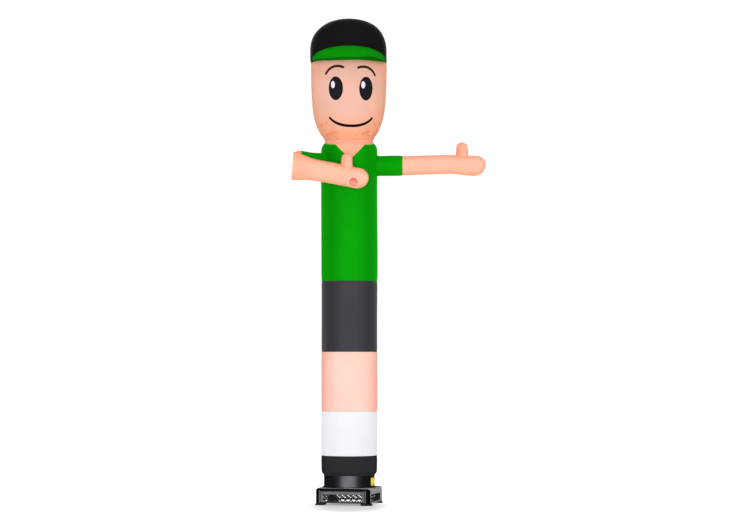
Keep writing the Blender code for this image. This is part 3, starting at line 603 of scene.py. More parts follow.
threadColours = {
    "green": "#0b9a10",
    "black": "#1c1c1e",
    "white": "#e6e6ea",
    "skin": "#eeb79f",
    "charcoal": "#46484c",
}
facePrint = {
    # metres on the flat face panel: across from its middle, height; then half width and half height
    "eyes": ((-0.1405, 3.8085, 0.0705, 0.1085), (0.1525, 3.8085, 0.0710, 0.1085)),
    "rim": 0.012,
    "shines": ((-0.1675, 3.8435, 0.0195, 0.0325), (0.1212, 3.8415, 0.0205, 0.0325)),
    # arcs: across and height of the circle's middle, its radius, from and to across, thickness, sag
    "brows": (
        (-0.1249, 3.8790, 0.1335, -0.2450, -0.0575, 0.0255, 0),
        (0.1268, 3.8629, 0.1450, 0.0615, 0.2565, 0.0255, 0),
    ),
    "mouth": (0.0126, 3.8577, 0.3898, -0.2290, 0.2545, 0.0275, 0.0085),
    "soft": 0.0015,
    "paintedShadeFrom": (-0.03, 3.82),  # painted shade: the ground colour deepens to orange from here towards the sides and the chin
    "paintedShadeHalf": (0.58, 0.46),
    "paintedShadeShare": 0.60,
    # foldShare and fold: share and colour of the painted shade in the face's creases
    "foldShare": 0.70,
    # colour of the painted shade towards the face's sides and chin
    "warm": "#ea9052",
    "fold": "#d9693b",
    "black": "#0b090b",
    "eye": "#1e1c23",
    "shine": "#ddd6e2",
    "brow": "#36140b",
    "lip": "#120506",
}


def ovalMask(tree, uv, across, height, halfWide, halfHigh):  # 1 inside an upright oval, 0 outside
    soft = facePrint["soft"] / halfWide
    reach = reachFrom(tree, uv, (across, height, 0), (halfWide, halfHigh, 1))
    return ramp(tree, reach, 1 + soft, 1 - soft)


def arcMask(tree, uv, arc, side, taper):
    # a stroke along part of a circle, with blunt ends; side is 1 where it lies over its circle's middle
    # and -1 where it lies under it
    across, height, radius, first, last, thick, sag = arc
    start, end = math.asin((first - across) / radius), math.asin((last - across) / radius)
    beside = maths(tree, "SUBTRACT", flatAxis(tree, uv, "X"), across)
    above = maths(tree, "MULTIPLY", maths(tree, "SUBTRACT", flatAxis(tree, uv, "Y"), height), side)
    run = maths(tree, "SUBTRACT", maths(tree, "ARCTAN2", beside, above), (start + end) / 2)
    share = maths(tree, "DIVIDE", run, (end - start) / 2)
    # sag lowers the stroke between its middle and its ends, by 4 * sag * share^2 * (1 - share^2)
    squared = maths(tree, "MULTIPLY", share, share)
    both = maths(tree, "MULTIPLY", squared, maths(tree, "SUBTRACT", 1.0, squared))
    drop = addNode(tree, "CombineXYZ", {"Y": maths(tree, "MULTIPLY", both, 4 * sag)})
    reach = reachFrom(tree, vectorMaths(tree, "ADD", uv, drop), (across, height, 0))
    off = maths(tree, "ABSOLUTE", maths(tree, "SUBTRACT", reach, radius))
    ending = maths(tree, "POWER", maths(tree, "ABSOLUTE", share), taper)
    rounded = maths(tree, "SQRT", maths(tree, "MAXIMUM", maths(tree, "SUBTRACT", 1.0, ending), 0.0))
    inside = maths(tree, "SUBTRACT", maths(tree, "MULTIPLY", rounded, thick / 2), off)
    return ramp(tree, inside, 0.0, 2 * facePrint["soft"])


def facePainted(tree, uv, colour):  # sublimation print: ink sits in the cloth, so its weave stays; the ground under it carries painted shade
    # painted shade: the face deepens to orange towards its sides and under its chin
    reach = reachFrom(tree, uv, (*facePrint["paintedShadeFrom"], 0), (*facePrint["paintedShadeHalf"], 1))
    layer = tint(tree, ramp(tree, reach, 0.35, 1.15, 0.0, facePrint["paintedShadeShare"]), colour, facePrint["warm"])
    # painted shade in the face's creases
    layer = paintedCreaseShade(facePrint["fold"], facePrint["foldShare"])(tree, uv, layer)
    rim = facePrint["rim"]
    marks = []
    for across, height, halfWide, halfHigh in facePrint["eyes"]:
        marks.append((ovalMask(tree, uv, across, height, halfWide, halfHigh), "black"))
        marks.append((ovalMask(tree, uv, across, height, halfWide - rim, halfHigh - rim), "eye"))
    marks += [(ovalMask(tree, uv, *shine), "shine") for shine in facePrint["shines"]]
    marks += [(arcMask(tree, uv, arc, 1, 24.0), "brow") for arc in facePrint["brows"]]
    marks.append((arcMask(tree, uv, facePrint["mouth"], -1, 60.0), "lip"))
    for mask, ink in marks:
        layer = tint(tree, mask, layer, facePrint[ink])
    return layer


skinFace = nylonCloth("skin, printed face", "#dbaa99", over=facePainted)
# Inner side of the hands: painted light, a pale glow that stands in for light through the thin cloth, and
# painted shade towards the hand's back; so the vents look warm and pink
paintedGlow = {"Emission Color": (*sRgb("#ffe0d8"), 1), "Emission Strength": 0.22}
paintedInnerShade = paintedSideShade("#c84634", 0.80, 1.0, 0.208, 0.250)
skinInside = nylonCloth("skin, inside, painted glow and shade", "#f09a80", over=paintedInnerShade, **paintedGlow)
# Painted shade: the leg and the arms deepen in colour towards their sides, where they turn from the light
legShade = paintedSideShade("#d88058", 0.38, 0.401, 0.10, 0.38)
skinLeg = nylonCloth("skin, leg", "#f3c1b3", over=legShade, **sheen("#c84a20", 0.45))
armShade = paintedSideShade("#e87c48", 0.42, 0.132, 0.025, 0.120)
skinArm = nylonCloth("skin, arms", "#f2ae95", over=armShade, **sheen("#d8552a", 0.25))
# painted shade in the neck's creases
skinNeck = nylonCloth("skin, neck", "#efa68b", over=paintedCreaseShade(facePrint["fold"], 0.5))
skinHem = nylonCloth("skin, vent hem", "#f6c0a8")
# painted shade: the shirt and the sleeves deepen in colour towards their sides
shirtShade = paintedSideShade("#006400", 0.42, 0.401, 0.04, 0.20)
greenCloth = nylonCloth("green", "#009100", over=shirtShade, **sheen("#00ff00", 0.55))
sleeveShade = paintedSideShade("#006400", 0.35, 0.132, 0.03, 0.12)
greenSleeve = nylonCloth("green, sleeves", "#009100", over=sleeveShade, **sheen("#00ff00", 0.36))
# painted shade: a darker band round the visor's rim, where its rounded edge turns from the light
visorCloth = nylonCloth("green, padded visor", "#008200", over=paintedBandShade("#005c00", 0.105, 0.213))
bindingCloth = nylonCloth("green, neck binding", "#0fa512", 0.04)
# painted shade: the shorts deepen in colour towards their sides
shortsShade = paintedSideShade("#1a1b1e", 0.55, 0.401, 0.05, 0.20)
shortsCloth = nylonCloth("charcoal", "#383a3e", over=shortsShade, **sheen("#ffffff", 0.18))
sockCloth = nylonCloth("white", "#dddee3", 0.02, **sheen("#ffffff", 0.20))
cuffCloth = nylonCloth("black, cuff", "#28292d")
capCloth = nylonCloth("black, cap", "#131313", **sheen("#ffffff", 0.20, 0.25))


def hardMaterial(name, baseHex, grainMm, shade, bumpMm, roughness, spread=0.05, **constants):
    # fine grain, slow shade drift and an uneven gloss, on object coordinates in metres
    made, tree, shader = newMaterial(name, baseHex, roughness, **constants)
    place = addNode(tree, "TexCoord", {}, "Object")
    drift = noise(tree, place, 9.0, 4.0)
    bump = bumped(tree, noise(tree, place, 1000 / grainMm, 2.0), 0.5, bumpMm)
    dressed(tree, shader, baseHex, drift, shade, drift, roughness, spread, bump)
    return made


# ABS housing, injection moulded: black with a fine spark-eroded grain and a dull satin gloss
dullGloss = {"Specular IOR Level": 0.15}
mouldedBlack = hardMaterial("injection-moulded ABS, black", "#060707", 1.4, 0.10, 0.10, 0.46, **dullGloss)
# The sunk side panels are a grey ABS with a coarser grain, duller than the border
mouldedGrey = hardMaterial("injection-moulded ABS, grey side panel", "#6c6e74", 1.8, 0.08, 0.14, 0.50)
# A lighter grey for the lid; the housing's two sides take it too, as painted light
lidGreyAndPaintedLitSides = hardMaterial("injection-moulded ABS, light grey lid and painted lit sides", "#97999f", 1.8, 0.08, 0.14, 0.50)
# Sheet steel with baked lacquer: black, smooth, with one clear upright highlight
clearGloss = {"IOR": 1.8, "Specular IOR Level": 1.0, "Specular Tint": (0.90, 0.92, 1.0, 1)}
ductLacquer = hardMaterial(
    "baked lacquer on sheet steel, black", "#07080c", 6.0, 0.06, 0.04, 0.40, 0.03, **clearGloss
)
# Steel wire, welded and powder coated: dark with a soft dotted gloss
guardWire = hardMaterial("powder-coated steel wire, dark grey", "#2a2b2e", 0.9, 0.12, 0.05, 0.45)
# Blackened steel screws: dark metal with small bright edges
blackenedSteel = hardMaterial("blackened steel screws", "#2b2c2e", 0.8, 0.15, 0.03, 0.38, Metallic=0.9)
# Moulded rubber feet and gland: matt near-black, a little dusty
footRubber = hardMaterial("moulded rubber, black", "#141415", 1.1, 0.14, 0.08, 0.72)
# Printed vinyl: bright yellow, smooth, left bare
stickerVinyl = hardMaterial("self-adhesive vinyl, yellow", "#ffe028", 3.0, 0.04, 0.02, 0.33, 0.03)
print("materials made")

# The tube's panels

gap = dancer["gap"]
cuffLevels = [0.265, 0.267, 0.270, 0.273, 0.276, 0.280, 0.284]
cuffLevels += [0.289, 0.294, 0.300, 0.307, 0.316, 0.326, 0.340]
cuffLevels += [z for z in panelLevels(0.20, dancer["sock"] - gap / 2) if z > 0.36]
girth = 2 * math.pi * dancer["bodyRadius"]
tubePanel("shoeCuff", cuffLevels, cuffCloth, "black_nylon", (girth, 0.180), ["duct_ring"], liftLow=False)
plainPanels = (
    # piece, lower seam, upper seam, material, slot, what carries it
    ("sockPanel", "sock", "leg", sockCloth, "white_nylon", "shoeCuff"),
    ("legPanel", "leg", "shorts", skinLeg, "skin_nylon", "sockPanel"),
    ("shortsPanel", "shorts", "shirt", shortsCloth, "charcoal_nylon", "legPanel"),
)
for piece, low, high, material, slot, carrier in plainPanels:
    levels = panelLevels(dancer[low] + gap / 2, dancer[high] - gap / 2)
    tubePanel(piece, levels, material, slot, (girth, dancer[high] - dancer[low]), [carrier])

shirtLow = panelLevels(dancer["shirt"] + gap / 2, 3.6)
shirtLevels = [z for z in shirtLow if z < 2.78] + [2.80 + 0.02 * i for i in range(10)]
shirtShares = [i / 24 for i in range(24)] + [0.970, 0.982, 0.991, 1.0]
chestZ = dancer["chest"]
shirtLevels += [lambda angle, s=share: chestZ + (neckline(angle) - chestZ) * s for share in shirtShares]
shirtHeight = dancer["collar"] - dancer["shirt"]
tubePanel("shirtPanel", shirtLevels, greenCloth, "green_nylon", (girth, shirtHeight), ["shortsPanel"])

binding = {"wide": 0.009, "over": 0.0012, "lift": 0.0016, "thin": 0.0007, "swell": 0.0004, "thick": 0.0010}
bindingShares = (-1.0, -0.96, -0.85, -0.5, -0.2, 0.0)


def bindingPlace(turn, row):  # folded tape over the neckline, a little fuller in its middle
    angle = turn + dancer["facing"]
    share = bindingShares[row]
    z = neckline(angle) + share * binding["wide"] + (binding["over"] if share == 0 else 0)
    full = binding["lift"] - binding["thin"] * smoothRise(-share - 0.70)
    return onTube(angle, z, full + binding["swell"] * math.sin(math.pi * -share))


def bindingFlat(turn, row):
    return (turn * dancer["bodyRadius"], binding["wide"] * bindingShares[row])


bm = facedOut(spunCloth(dancer["columns"], len(bindingShares), bindingPlace, bindingFlat))
neckBinding = addPiece("neckBinding", bm, bindingCloth, "green_nylon", replaced=False)
thickened(neckBinding, binding["thick"])

neckTop = dancer["neck"] - gap / 2


def neckLevel(share):  # from the neckline up to the neck seam
    return lambda angle: neckline(angle) + gap + (neckTop - neckline(angle) - gap) * share


neckLevels = [neckLevel(i / 20) for i in range(21)]
neckLook = {"area": 0.09, "liftLow": False, "fine": True}
tubePanel("neckPanel", neckLevels, skinNeck, "skin_nylon", (1.38, 0.213), ["shirtPanel"], **neckLook)

faceLevels = panelLevels(dancer["neck"] + gap / 2, dancer["cap"] - gap / 2, 0.010)
headGirth = 2 * math.pi * dancer["headRadius"]
headLook = {"liftLow": False, "fine": True, "wide": dancer["headRadius"]}
tubePanel("facePanel", faceLevels, skinFace, "skin_nylon", (headGirth, 0.745), ["neckPanel"], **headLook)

crownLevels = [z for z in panelLevels(dancer["cap"] + gap / 2, 5.2, 0.02) if z < dancer["crown"]]
domeHigh, domeRows = dancer["top"] - dancer["crown"], 26
domeTurns = [math.pi / 2 * i / domeRows for i in range(1, domeRows + 1)]
crownLevels += [dancer["crown"] + domeHigh * math.sin(turn) for turn in domeTurns]
tubePanel("capCrown", crownLevels, capCloth, "black_nylon", (1.45, 0.62), ["facePanel"], closedTop=True)
print("tube panels made")

# Arms, hands and thumbs

arms = {
    "columns": 96,
    "radius": 0.0840,
    "height": 3.129,
    "sleeveEnd": 0.491,  # of the straight arm, from the tube's axis
    "wrist": 0.960,
    "tip": 1.266,
    "kink": Vector((-0.5225, -0.210, 3.106)),  # where the other arm folds flat, seen from the tube's axis
    "foldedTip": Vector((0.176, -0.391, 2.966)),
    "foldedWrist": 0.425,
    "foldedSleeve": 0.086,
    "kinkDepth": 0.006,
    "foldedRise": 0.023,  # the pressed upper arm stands this much higher than its line
    "foldedShoulder": 0.066,  # half the depth of the upper arm, which the fold presses a little flat
    "forearmDepth": 0.062,
    "kinkReach": 0.090,
    "straightDroop": 0.010,
    "foldedDroop": 0.004,
}
straightWidth = smoothTable(
    ((0.20, 1.12), (0.45, 1.12), (0.478, 1.10), (0.491, 1.06), (0.52, 1.05), (0.85, 1.045), (0.96, 1.035))
)
# the straight arm sags a little at its shoulder and lifts towards its wrist: metres along it, metres up
straightLift = smoothTable(
    ((0.287, -0.0050), (0.509, -0.0028), (0.80, 0.0060), (0.954, 0.0090), (1.05, 0.0065), (1.266, 0.0050))
)
handBulge = smoothTable(((0.0, 1.035), (0.20, 1.050), (0.45, 1.090), (0.66, 1.105)))
handDroop = smoothTable(
    ((0.0, 0.0), (0.20, 0.5), (0.45, 0.9), (0.66, 1.0), (0.81, 0.7), (0.92, 0.3), (1.0, 0.0))
)
handRound = 0.66  # the hand's end rounds off from this share of its length
# Creases of each arm: metres along it, degrees round it from its front going up, depth in mm,
# half width across the arm and half length along it in mm, degrees that it leans
straightCreases = (
    (0.300, 30, 2.2, 10, 50, 8), (0.305, -25, 2.0, 10, 44, -10), (0.300, 84, 2.4, 11, 46, 5),
    (0.300, -88, 2.4, 11, 50, -4), (0.310, 150, 2.2, 10, 46, 12), (0.310, -140, 2.2, 10, 46, -12),
    (0.440, 12, 1.6, 9, 40, -6), (0.445, 66, 1.6, 9, 36, 6), (0.445, -60, 1.6, 9, 36, 5),
    (0.540, 22, 1.6, 9, 42, 6), (0.545, -38, 1.7, 9, 44, -7), (0.540, 100, 1.6, 9, 40, 5),
    (0.545, -110, 1.6, 9, 40, -5), (0.720, -20, 1.3, 14, 150, 3), (0.800, 35, 1.2, 14, 130, -3),
    (0.700, 150, 1.2, 14, 120, 4), (0.915, 10, 1.6, 9, 40, 7), (0.915, -45, 1.8, 9, 44, -6),
    (0.915, 64, 1.6, 9, 40, -5), (1.005, -18, 1.7, 9, 42, 6), (1.010, 28, 1.7, 9, 44, -8),
    (1.005, -70, 1.8, 9, 40, 4), (1.030, 62, 3.2, 8, 46, 40), (1.075, 48, 2.6, 8, 30, -36),
    (1.010, 160, 1.8, 9, 42, 6), (1.010, -150, 1.8, 9, 42, -6),
)
foldedCreases = (
    # metres along it from the kink, less than 0 towards the shoulder
    (-0.270, 20, 2.2, 10, 44, 8), (-0.270, -40, 2.2, 10, 44, -8), (-0.265, 120, 2.2, 10, 44, 6),
    (-0.180, 60, 2.6, 9, 60, -14), (-0.150, -30, 2.4, 9, 60, 16), (-0.120, 150, 3.0, 9, 50, 18),
    (0.055, 50, 3.6, 9, 56, -24), (0.075, 18, 3.2, 10, 70, -10), (0.070, -14, 3.4, 9, 66, 6),
    (0.060, -46, 3.6, 9, 58, 22), (0.150, 34, -2.6, 12, 80, -12), (0.170, -4, 2.6, 11, 90, 3),
    (0.160, -32, -2.2, 12, 80, 12), (0.100, 78, 2.6, 9, 60, -16), (0.105, -80, 2.6, 9, 60, 16),
    (0.110, 160, 2.6, 10, 60, 8), (0.300, 16, 1.5, 13, 110, -4), (0.310, -36, 1.4, 13, 100, 5),
    (0.385, 6, 1.6, 9, 40, 6), (0.385, 48, 1.6, 9, 38, -6), (0.385, -52, 1.8, 9, 40, 5),
    (0.470, -10, 1.8, 9, 40, -6), (0.470, 40, 1.8, 9, 40, 8), (0.500, 66, 3.0, 8, 44, 38),
    (0.545, 54, 2.4, 8, 30, -34), (0.470, -66, 1.8, 9, 38, 4),
)


def armCrease(creases, along, turn):
    depth = 0.0
    for place, degrees, deep, wide, long, lean in creases:
        run = along - place
        if abs(run) > 0.3:
            continue
        around = wrapTurn(turn - math.radians(degrees)) * arms["radius"]
        tilt = (math.cos(math.radians(lean)), math.sin(math.radians(lean)))
        depth += creased(deep, around, run, tilt, wide * millimetre, long * millimetre)
    return depth * millimetre


def armSeams(seams, along, turn):  # pinch and fine puckers at the seams across an arm
    drawn = 0.0
    (pinch, pinchReach), (pucker, puckerReach) = gathers["armSeam"], gathers["armPucker"]
    for index, seam in enumerate(seams):
        away = abs(along - seam)
        if away < 0.06:
            ripple = math.sin(13 * turn + 2.3 * index) + 0.8 * math.sin(19 * turn - index)
            ripple += 0.6 * math.sin(27 * turn)
            drawn += pinch * bell(away, pinchReach) + pucker * ripple * math.exp(-away / puckerReach)
    return drawn


def makeLimb(start, tip, front):  # a straight run: its line, and the directions of its front and its height
    along = (tip - start).normalized()
    up = along.cross(front).normalized()
    facing = up.cross(along)
    return {"start": start, "along": along, "up": -up if up.z < 0 else up, "front": facing}


def pressedRound(turn, depth, radius):
    # place and normal on a blown-up sleeve pressed to half this depth; its way round stays the round one's
    straight = (radius - depth) * math.pi / 2
    side, around = 1, turn
    if abs(turn) > math.pi / 2:
        side, around = -1, math.copysign(math.pi, turn) - turn
    run, up = abs(around) * radius, math.copysign(1, around)
    if run <= straight:
        return side * depth, up * run, side, 0.0
    bend = min((run - straight) / depth, math.pi / 2)
    c, s = math.cos(bend), math.sin(bend)
    return side * depth * c, up * (straight + depth * s), side * c, up * s


def onSection(centre, out, up, depth, radius, turn, lift):
    x, y, nx, ny = pressedRound(turn, max(depth, 1e-5), max(radius, 1e-5))
    return tubeAxis + centre + out * (x + nx * lift) + up * (y + ny * lift)


shoulder = Vector((0, 0, arms["height"]))
straightLimb = makeLimb(shoulder, Vector((arms["tip"], 0, arms["height"])), Vector((0, -1, 0)))
upperLimb = makeLimb(arms["kink"], shoulder, Vector((0, 1, 0)))
foreLimb = makeLimb(arms["kink"], arms["foldedTip"], Vector((0, -1, 0)))
kinkOut = -(upperLimb["along"] + foreLimb["along"]).normalized()
kinkUp = (upperLimb["up"] + foreLimb["up"]).normalized()
kinkSlope = math.tan(upperLimb["along"].xy.angle(foreLimb["along"].xy) / 2)
foldedLength = (arms["foldedTip"] - arms["kink"]).length
straightSeams = (arms["sleeveEnd"], arms["wrist"])
foldedSeams = (-arms["foldedSleeve"], arms["foldedWrist"])


def straightPlace(turn, along, lift=0.0):
    radius = arms["radius"] * straightWidth(along)
    lift -= armCrease(straightCreases, along, turn) + armSeams(straightSeams, along, turn)
    centre = straightLimb["start"] + straightLimb["along"] * along + Vector((0, 0, straightLift(along)))
    return onSection(centre, straightLimb["front"], straightLimb["up"], radius, radius, turn, lift)


def foldedPlace(turn, run, lift=0.0):  # run is measured from the kink, less than 0 towards the shoulder
    limb, full = (foreLimb, arms["forearmDepth"]) if run > 0 else (upperLimb, arms["foldedShoulder"])
    distance = abs(run)
    room = max(arms["kinkDepth"], distance * kinkSlope - 0.004)
    depth = room * full / (room**8 + full**8) ** 0.125
    turned = smoothRise(distance / arms["kinkReach"])
    out = kinkOut.lerp(limb["front"], turned).normalized()
    up = kinkUp.lerp(limb["up"], turned).normalized()
    rise = arms["foldedRise"] * smoothRise(distance / 0.09) if run < 0 else 0.0
    fold = smoothRise(distance / 0.03)
    lift -= fold * (armCrease(foldedCreases, run, turn) + armSeams(foldedSeams, run, turn))
    centre = limb["start"] + limb["along"] * distance + Vector((0, 0, rise))
    return onSection(centre, out, up, depth, arms["radius"], turn, lift)


def chestReach(turn, widen, limb, outside, inside, shape, rise=0.0):
    # how far along a sleeve its edge meets the chest, on the line that runs there at this turn
    x, y, nx, ny = pressedRound(turn, shape[0] + widen, shape[1] + widen)
    offset = limb["start"] + limb["front"] * x + limb["up"] * y + Vector((0, 0, rise))
    for _ in range(24):
        middle = (outside + inside) / 2
        point = offset + limb["along"] * middle
        if math.hypot(point.x, point.y) < tubeRadius(math.atan2(point.x, -point.y), point.z):
            inside = middle
        else:
            outside = middle
    return outside


sleeveRound = arms["radius"] * 1.12


def straightChest(turn, widen=0.0):
    return chestReach(turn, widen, straightLimb, 0.45, 0.05, (sleeveRound, sleeveRound), straightLift(0.2))


def foldedChest(turn, widen=0.0):
    shape = (arms["foldedShoulder"], arms["radius"])
    return -chestReach(turn, widen, upperLimb, 0.12, 0.50, shape, arms["foldedRise"])


def armPiece(name, rows, place, flat, material, slot, size, rests, vent=None):
    # a piece with a vent is a hand: its end is closed and its inner side shows
    bm = spunCloth(arms["columns"], rows, place, flat, bool(vent))
    centres = {}
    for vert in bm.verts:  # middle of each ring, to tell the outside from the inside
        centres.setdefault(round(vert.co.x, 2), []).append(vert.co.copy())
    middle = {key: sum(points, Vector()) / len(points) for key, points in centres.items()}
    facedOut(bm, lambda face: middle.get(round(face.calc_center_median().x, 2), face.calc_center_median()))
    surface = BVHTree.FromBMesh(bm)
    if vent:
        openVent(bm, surface, *vent)
    piece = thickened(addPiece(name, bm, material, slot), dancer["cloth"])
    if vent:
        # the inner side takes the material with the painted glow and shade
        piece.data.materials.append(skinInside)
        piece.modifiers["cloth thickness"].material_offset = 1
    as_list(rests)
    return surface


def openVent(bm, surface, centre, outward, radius):
    # the faces inside the hole go, and the edge that is left is set on its circle
    def reach(vert):
        away = vert.co - centre
        ahead = away.dot(outward)
        return (away - outward * ahead).length if ahead > -0.02 else 1.0

    gone = [face for face in bm.faces if min(reach(vert) for vert in face.verts) < radius]
    bmesh.ops.delete(bm, geom=gone, context="FACES")
    rim = [v for v in bm.verts if any(e.is_boundary for e in v.link_edges) and reach(v) < radius + 0.03]
    for vert in rim:
        away = vert.co - centre
        flatAway = away - outward * away.dot(outward)
        start = centre + flatAway.normalized() * radius + outward * 0.15
        hit = surface.ray_cast(start, -outward)[0]
        if hit:
            vert.co = hit


ventHem = {
    "radii": (0.0442, 0.0450, 0.0475, 0.0505, 0.0530),
    "lifts": (-0.0008, 0.0019, 0.0024, 0.0021, 0.0012),
    "thick": 0.0010,
    "stitches": 62,
    "stitchRadius": 0.0497,
    "stitchLift": 0.0022,
}


def onVent(surface, centre, outward, turn, radius, lift):  # a place round the hole, on the hand's surface
    across = outward.cross(Vector((0, 0, 1))).normalized()
    radial = across * math.cos(turn) + outward.cross(across) * math.sin(turn)
    hit, normal = surface.ray_cast(centre + radial * radius + outward * 0.15, -outward)[:2]
    return hit + normal * lift


def makeVentHem(side, surface, centre, outward):  # narrow tape sewn round the air vent
    def place(turn, radius, lift):
        return onVent(surface, centre, outward, turn, radius, lift)

    def sewn(t, rise):
        return place(2 * math.pi * t, ventHem["stitchRadius"], ventHem["stitchLift"] + rise)

    radii, lifts = ventHem["radii"], ventHem["lifts"]
    bm = spunCloth(
        72,
        len(radii),
        lambda turn, row: place(turn, radii[row], lifts[row]),
        lambda turn, row: (turn * radii[2], radii[row]),
    )
    facedOut(bm, lambda face: face.calc_center_median() - outward)
    hem = thickened(addPiece("ventHem" + side, bm, skinHem, "skin_nylon", replaced=False), ventHem["thick"])
    seamRuns["skin"].append((sewn, ventHem["stitches"]))


armGirth = 2 * math.pi * arms["radius"]


def runRows(start, end, coarse=0.012):  # distances of an arm piece's rows
    low, high = min(start, end), max(start, end)
    rows = panelLevels(low, high, coarse)
    return rows if start < end else rows[::-1]


sleeveLength = 0.24
sleeveRows = [d / sleeveLength for d in runRows(0, sleeveLength)]


def sleeveFlat(turn, row):
    return (turn * arms["radius"], sleeveLength * sleeveRows[row])


def shoulderFillet(away):  # the sleeve widens a little where it is sewn to the shirt
    return 0.003 * math.exp(-away / 0.010)


def straightSleeve(turn, row):
    start = straightChest(turn) + gap
    along = start + (arms["sleeveEnd"] - gap / 2 - start) * sleeveRows[row]
    return straightPlace(turn, along, shoulderFillet(along - start) + edgeLift(arms["sleeveEnd"] - along))


def foldedSleevePlace(turn, row):
    start = foldedChest(turn) + gap
    end = -arms["foldedSleeve"] - gap / 2
    run = start + (end - start) * sleeveRows[row]
    return foldedPlace(turn, run, shoulderFillet(run - start) + edgeLift(end - run))


def makeArm(side, rows, place, length):
    armPiece(
        "arm" + side,
        len(rows),
        lambda turn, row: place(turn, rows[row]),
        lambda turn, row: (turn * arms["radius"], rows[row]),
        skinArm,
        "skin_nylon",
        (armGirth, length),
        ["sleeve" + side],
    )


sleeveLook = (sleeveFlat, greenSleeve, "green_nylon")
armPiece("sleeveStraight", len(sleeveRows), straightSleeve, *sleeveLook, (armGirth, 0.27), ["shirtPanel"])
armRows = runRows(arms["sleeveEnd"] + gap / 2, arms["wrist"] - gap / 2)
makeArm("Straight", armRows, straightPlace, arms["wrist"] - arms["sleeveEnd"])
armPiece("sleeveFolded", len(sleeveRows), foldedSleevePlace, *sleeveLook, (armGirth, 0.24), ["shirtPanel"])
kinkRows = [-arms["foldedSleeve"] + gap / 2, -0.083, -0.080, -0.076, -0.070, -0.062, -0.054, -0.046]
kinkRows += [-0.038, -0.030, -0.024, -0.018, -0.013, -0.009, -0.006, 0.006, 0.009, 0.013, 0.018, 0.024]
kinkRows += [0.024 + 0.008 * i for i in range(1, 22)]
kinkRows += [z for z in runRows(0.0, arms["foldedWrist"] - gap / 2) if z > kinkRows[-1] + 0.004]
makeArm("Folded", kinkRows, foldedPlace, arms["foldedWrist"] + arms["foldedSleeve"])

hand = {
    "thumbReach": 0.205,
    "thumbFlare": 0.13,
    "ventRadius": 0.045,
    "ventDrop": 0.040,
    "flatLength": 0.306,
    "roundSteps": 16,
    "topSteps": 11,
}
straightHandLength = arms["tip"] - arms["wrist"] - gap / 2
hands = {
    # full is its width against its line, at the wrist and past it; raised is how high its line stands there
    "Straight": {
        "limb": straightLimb,
        "wrist": arms["wrist"] + gap / 2,
        "length": straightHandLength,
        "flatten": 1.0,
        "droop": arms["straightDroop"],
        "full": (1.0, 1.0),
        "raised": straightLift,
        "creases": straightCreases,
        "seams": straightSeams,
        "ventOut": -straightLimb["front"],
        "ventFromTip": 0.143,
        "thumbRadius": 0.054,
        "thumbFromTip": 0.220,
    },
    "Folded": {
        "limb": foreLimb,
        "wrist": arms["foldedWrist"] + gap / 2,
        "length": foldedLength - arms["foldedWrist"] - gap / 2,
        "flatten": arms["forearmDepth"] / arms["radius"],
        "droop": arms["foldedDroop"],
        "full": (0.966, 0.885),
        "raised": lambda along: 0.0,
        "creases": foldedCreases,
        "seams": foldedSeams,
        "ventOut": (foreLimb["front"] - 0.25 * foreLimb["up"]).normalized(),
        "ventFromTip": 0.117,
        "thumbRadius": 0.0505,
        "thumbFromTip": 0.206,
    },
}
handShares = [step * millimetre / hand["flatLength"] for step in seamSteps[:5]]
handShares += [i / 26 * handRound for i in range(27) if i / 26 * handRound > 0.045]
handShares += [
    handRound + (1 - handRound) * math.sin(math.pi / 2 * i / hand["roundSteps"])
    for i in range(1, hand["roundSteps"] + 1)
]
thumbSteps = (0.0, 0.003, 0.006, 0.010, 0.015, 0.021, 0.028, 0.037, 0.048)


def handPlace(made):
    limb, low, high = made["limb"], *made["full"]

    def place(turn, share, lift=0.0):
        past = max(share - handRound, 0) / (1 - handRound)
        bulge = handBulge(share) * (low + (high - low) * smoothRise(share / 0.5))
        radius = arms["radius"] * bulge * math.sqrt(max(1 - past * past, 0))
        along = made["wrist"] + share * made["length"]
        drawn = armCrease(made["creases"], along, turn) + armSeams(made["seams"], along, turn)
        rise = made["raised"](along) - made["droop"] * handDroop(share)
        centre = limb["start"] + limb["along"] * along + limb["up"] * rise
        depth = radius * made["flatten"]
        lift -= smoothRise(radius / 0.05) * drawn
        return onSection(centre, limb["front"], limb["up"], depth, radius, turn, lift)

    return place


def makeThumb(side, made, surface):
    limb, topRadius = made["limb"], made["thumbRadius"]
    along = made["wrist"] + made["length"] - made["thumbFromTip"]
    root = tubeAxis + limb["start"] + limb["along"] * along
    root.z += made["raised"](made["wrist"])
    ahead = Vector((limb["along"].x, limb["along"].y, 0)).normalized()
    aside = Vector((-ahead.y, ahead.x, 0))
    roundFrom = root.z + hand["thumbReach"] - topRadius

    def thumbPlace(turn, row):
        radial = ahead * math.cos(turn) + aside * math.sin(turn)
        if row < len(thumbSteps):  # its side, which flares out and puckers where it is sewn to the hand
            rise = thumbSteps[row]
            ripple = 1 + 0.02 * math.sin(9 * turn) + 0.015 * math.sin(14 * turn + 1)
            foot = root + radial * topRadius * (1 + hand["thumbFlare"] * ripple * math.exp(-rise / 0.012))
            hit = surface.ray_cast(foot + Vector((0, 0, 0.3)), Vector((0, 0, -1)))[0]
            base = hit.z + gap
            return Vector((foot.x, foot.y, base + (roundFrom - 0.004 - base) * rise / thumbSteps[-1]))
        bend = math.pi / 2 * (row - len(thumbSteps)) / hand["topSteps"]
        spot = root + radial * topRadius * math.cos(bend)
        return Vector((spot.x, spot.y, roundFrom + topRadius * math.sin(bend)))

    rows = len(thumbSteps) + hand["topSteps"] + 1
    bm = spunCloth(48, rows, thumbPlace, lambda turn, row: (turn * topRadius, 0.012 * row), closedEnd=True)
    facedOut(bm, lambda face: Vector((root.x, root.y, face.calc_center_median().z)))
    thumb = thickened(addPiece("thumb" + side, bm, skinArm, "skin_nylon"), dancer["cloth"])


